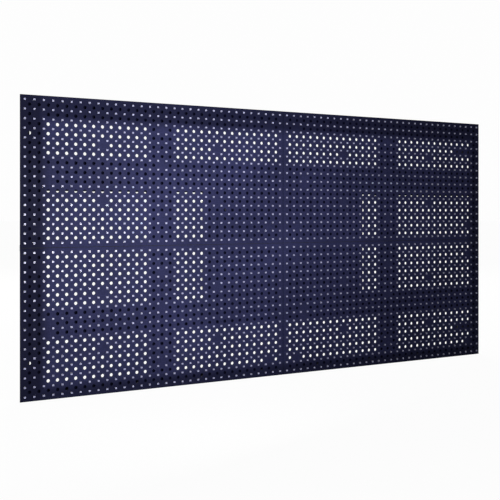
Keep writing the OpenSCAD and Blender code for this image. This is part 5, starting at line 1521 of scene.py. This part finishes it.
class DISPLAY_OT_stage(bpy.types.Operator):
    """Pale floor, white surroundings, soft lamps and the camera"""
    bl_idname = "display.stage"
    bl_label = "Stage"

    def execute(self, context):
        stage = context.scene.display_stage
        context.scene.view_settings.view_transform = "Standard"
        self.floor(stage)
        self.surroundings(context, stage)
        self.lamp("key_lamp", (-0.22, -0.66, 0.0), (-0.44, -0.03, 0.5), 0.3, stage.key_power)
        self.lamp("front_lamp", (0.4, -3.2, 1.6), (0.0, 0.0, 0.0), 2.2, stage.front_power)
        self.lamp("rear_lamp", (1.1, 2.4, 1.5), (0.0, 0.0, 0.0), 1.8, stage.rear_power)
        self.lamp("rear_side_lamp", (-1.9, 1.9, 0.7), (0.0, 0.0, 0.0), 1.4, stage.rear_power * 0.4)
        self.camera(context, stage)
        return {"FINISHED"}

    def floor(self, stage):
        """A wide round floor just under the object: rings of points at growing radius."""
        level = CAD_BOX[0][2] - 0.2 * MM
        reach = np.array([30, 16, 8, 4, 2, 1, 0.5])[:, None]
        points, faces = skin(rings_about(reach, [level] * len(reach), 64), last=(0, 0, level))
        mesh = bpy.data.meshes.new("floor")
        mesh.from_pydata(points.tolist(), [], [face for group in faces for face in group.tolist()])
        mesh.update()
        floor = bpy.data.objects.new("floor", mesh)
        bpy.context.scene.collection.objects.link(floor)
        made = Finish("floor_paper", (0.82, 0.82, 0.82), 0.9, specular=0.1)
        made.paint(made.between(made.noise(30.0, 4.0), (0.80, 0.80, 0.80), (0.84, 0.84, 0.84)))
        mixed = white_where_seen(made.tree, made.shader, stage.backdrop * 1.035, 0.95)
        made.tree.links.new(mixed, made.tree.nodes["Material Output"].inputs["Surface"])
        mesh.materials.append(made.material)

    def surroundings(self, context, stage):
        """Even light from all sides, seen as white."""
        world = bpy.data.worlds.new("surroundings")
        context.scene.world = world
        world.use_nodes = True
        tree = world.node_tree
        plain = tree.nodes["Background"]
        plain.inputs["Color"].default_value = (stage.fill, stage.fill, stage.fill * 1.03, 1)
        mixed = white_where_seen(tree, plain, stage.backdrop, 1.0)
        tree.links.new(mixed, tree.nodes["World Output"].inputs["Surface"])

    def lamp(self, name, place, target, size, power):
        """A round lamp at a place, turned to face its target."""
        lamp = bpy.data.lights.new(name, "AREA")
        lamp.shape = "DISK"
        lamp.size = size
        lamp.energy = power
        holder = bpy.data.objects.new(name, lamp)
        bpy.context.scene.collection.objects.link(holder)
        holder.location = place
        way = np.array(target) - np.array(place)
        flat = math.hypot(way[0], way[1])
        holder.rotation_euler = (math.atan2(flat, -way[2]), 0, math.atan2(-way[0], way[1]))
        holder.visible_camera = False

    def camera(self, context, stage):
        """Level camera on the left: its foot lies 24.2 pitches left of the left edge and 91 pitches
        in front, at the height of row 12.24, turned 29.5 degrees to the right."""
        lens = bpy.data.cameras.new("camera")
        lens.sensor_width = 36
        lens.lens = stage.focal
        lens.shift_x, lens.shift_y = stage.sideways, stage.lift
        lens.clip_end = 100
        holder = bpy.data.objects.new("camera", lens)
        context.scene.collection.objects.link(holder)
        left, front, row, turn = 24.2, 91, 12.24, -29.5
        place = np.array([-(left + BOARD_COLUMNS) * PITCH, Y_FRONT - front * PITCH, (BOARD_ROWS - row) * PITCH])
        holder.location = place * MM
        holder.rotation_euler = (math.pi / 2, 0, math.radians(turn))
        context.scene.camera = holder


# ---------------------------------------------------------------- panel and registration

PIECE_OPERATORS = (
    DISPLAY_OT_boards, DISPLAY_OT_light_packages, DISPLAY_OT_board_electronics, DISPLAY_OT_fasteners,
    DISPLAY_OT_sheetwork, DISPLAY_OT_control_box, DISPLAY_OT_box_fittings, DISPLAY_OT_power_supply,
    DISPLAY_OT_cards, DISPLAY_OT_wiring, DISPLAY_OT_side_bolts, DISPLAY_OT_stage,
)


class DISPLAY_PT_build(bpy.types.Panel):
    """Lists the steps that dress the display and the sizes and colours they use"""
    bl_idname = "DISPLAY_PT_build"
    bl_label = "LED display cabinet"
    bl_space_type = "VIEW_3D"
    bl_region_type = "UI"
    bl_category = "Display"

    def draw(self, context):
        for group in (context.scene.display_looks, context.scene.display_stage):
            for name in group.__annotations__:
                self.layout.prop(group, name)
        for operator in PIECE_OPERATORS:
            self.layout.operator(operator.bl_idname)


CLASSES = (DisplayLooks, DisplayStage) + PIECE_OPERATORS + (DISPLAY_PT_build,)


def register():
    for item in CLASSES:
        bpy.utils.register_class(item)
    bpy.types.Scene.display_looks = bpy.props.PointerProperty(type=DisplayLooks)
    bpy.types.Scene.display_stage = bpy.props.PointerProperty(type=DisplayStage)


def unregister():
    del bpy.types.Scene.display_stage
    del bpy.types.Scene.display_looks
    for item in reversed(CLASSES):
        bpy.utils.unregister_class(item)


def main():
    register()
    for operator in PIECE_OPERATORS:
        group, name = operator.bl_idname.split(".")
        getattr(getattr(bpy.ops, group), name)()


if __name__ == "__main__":
    main()
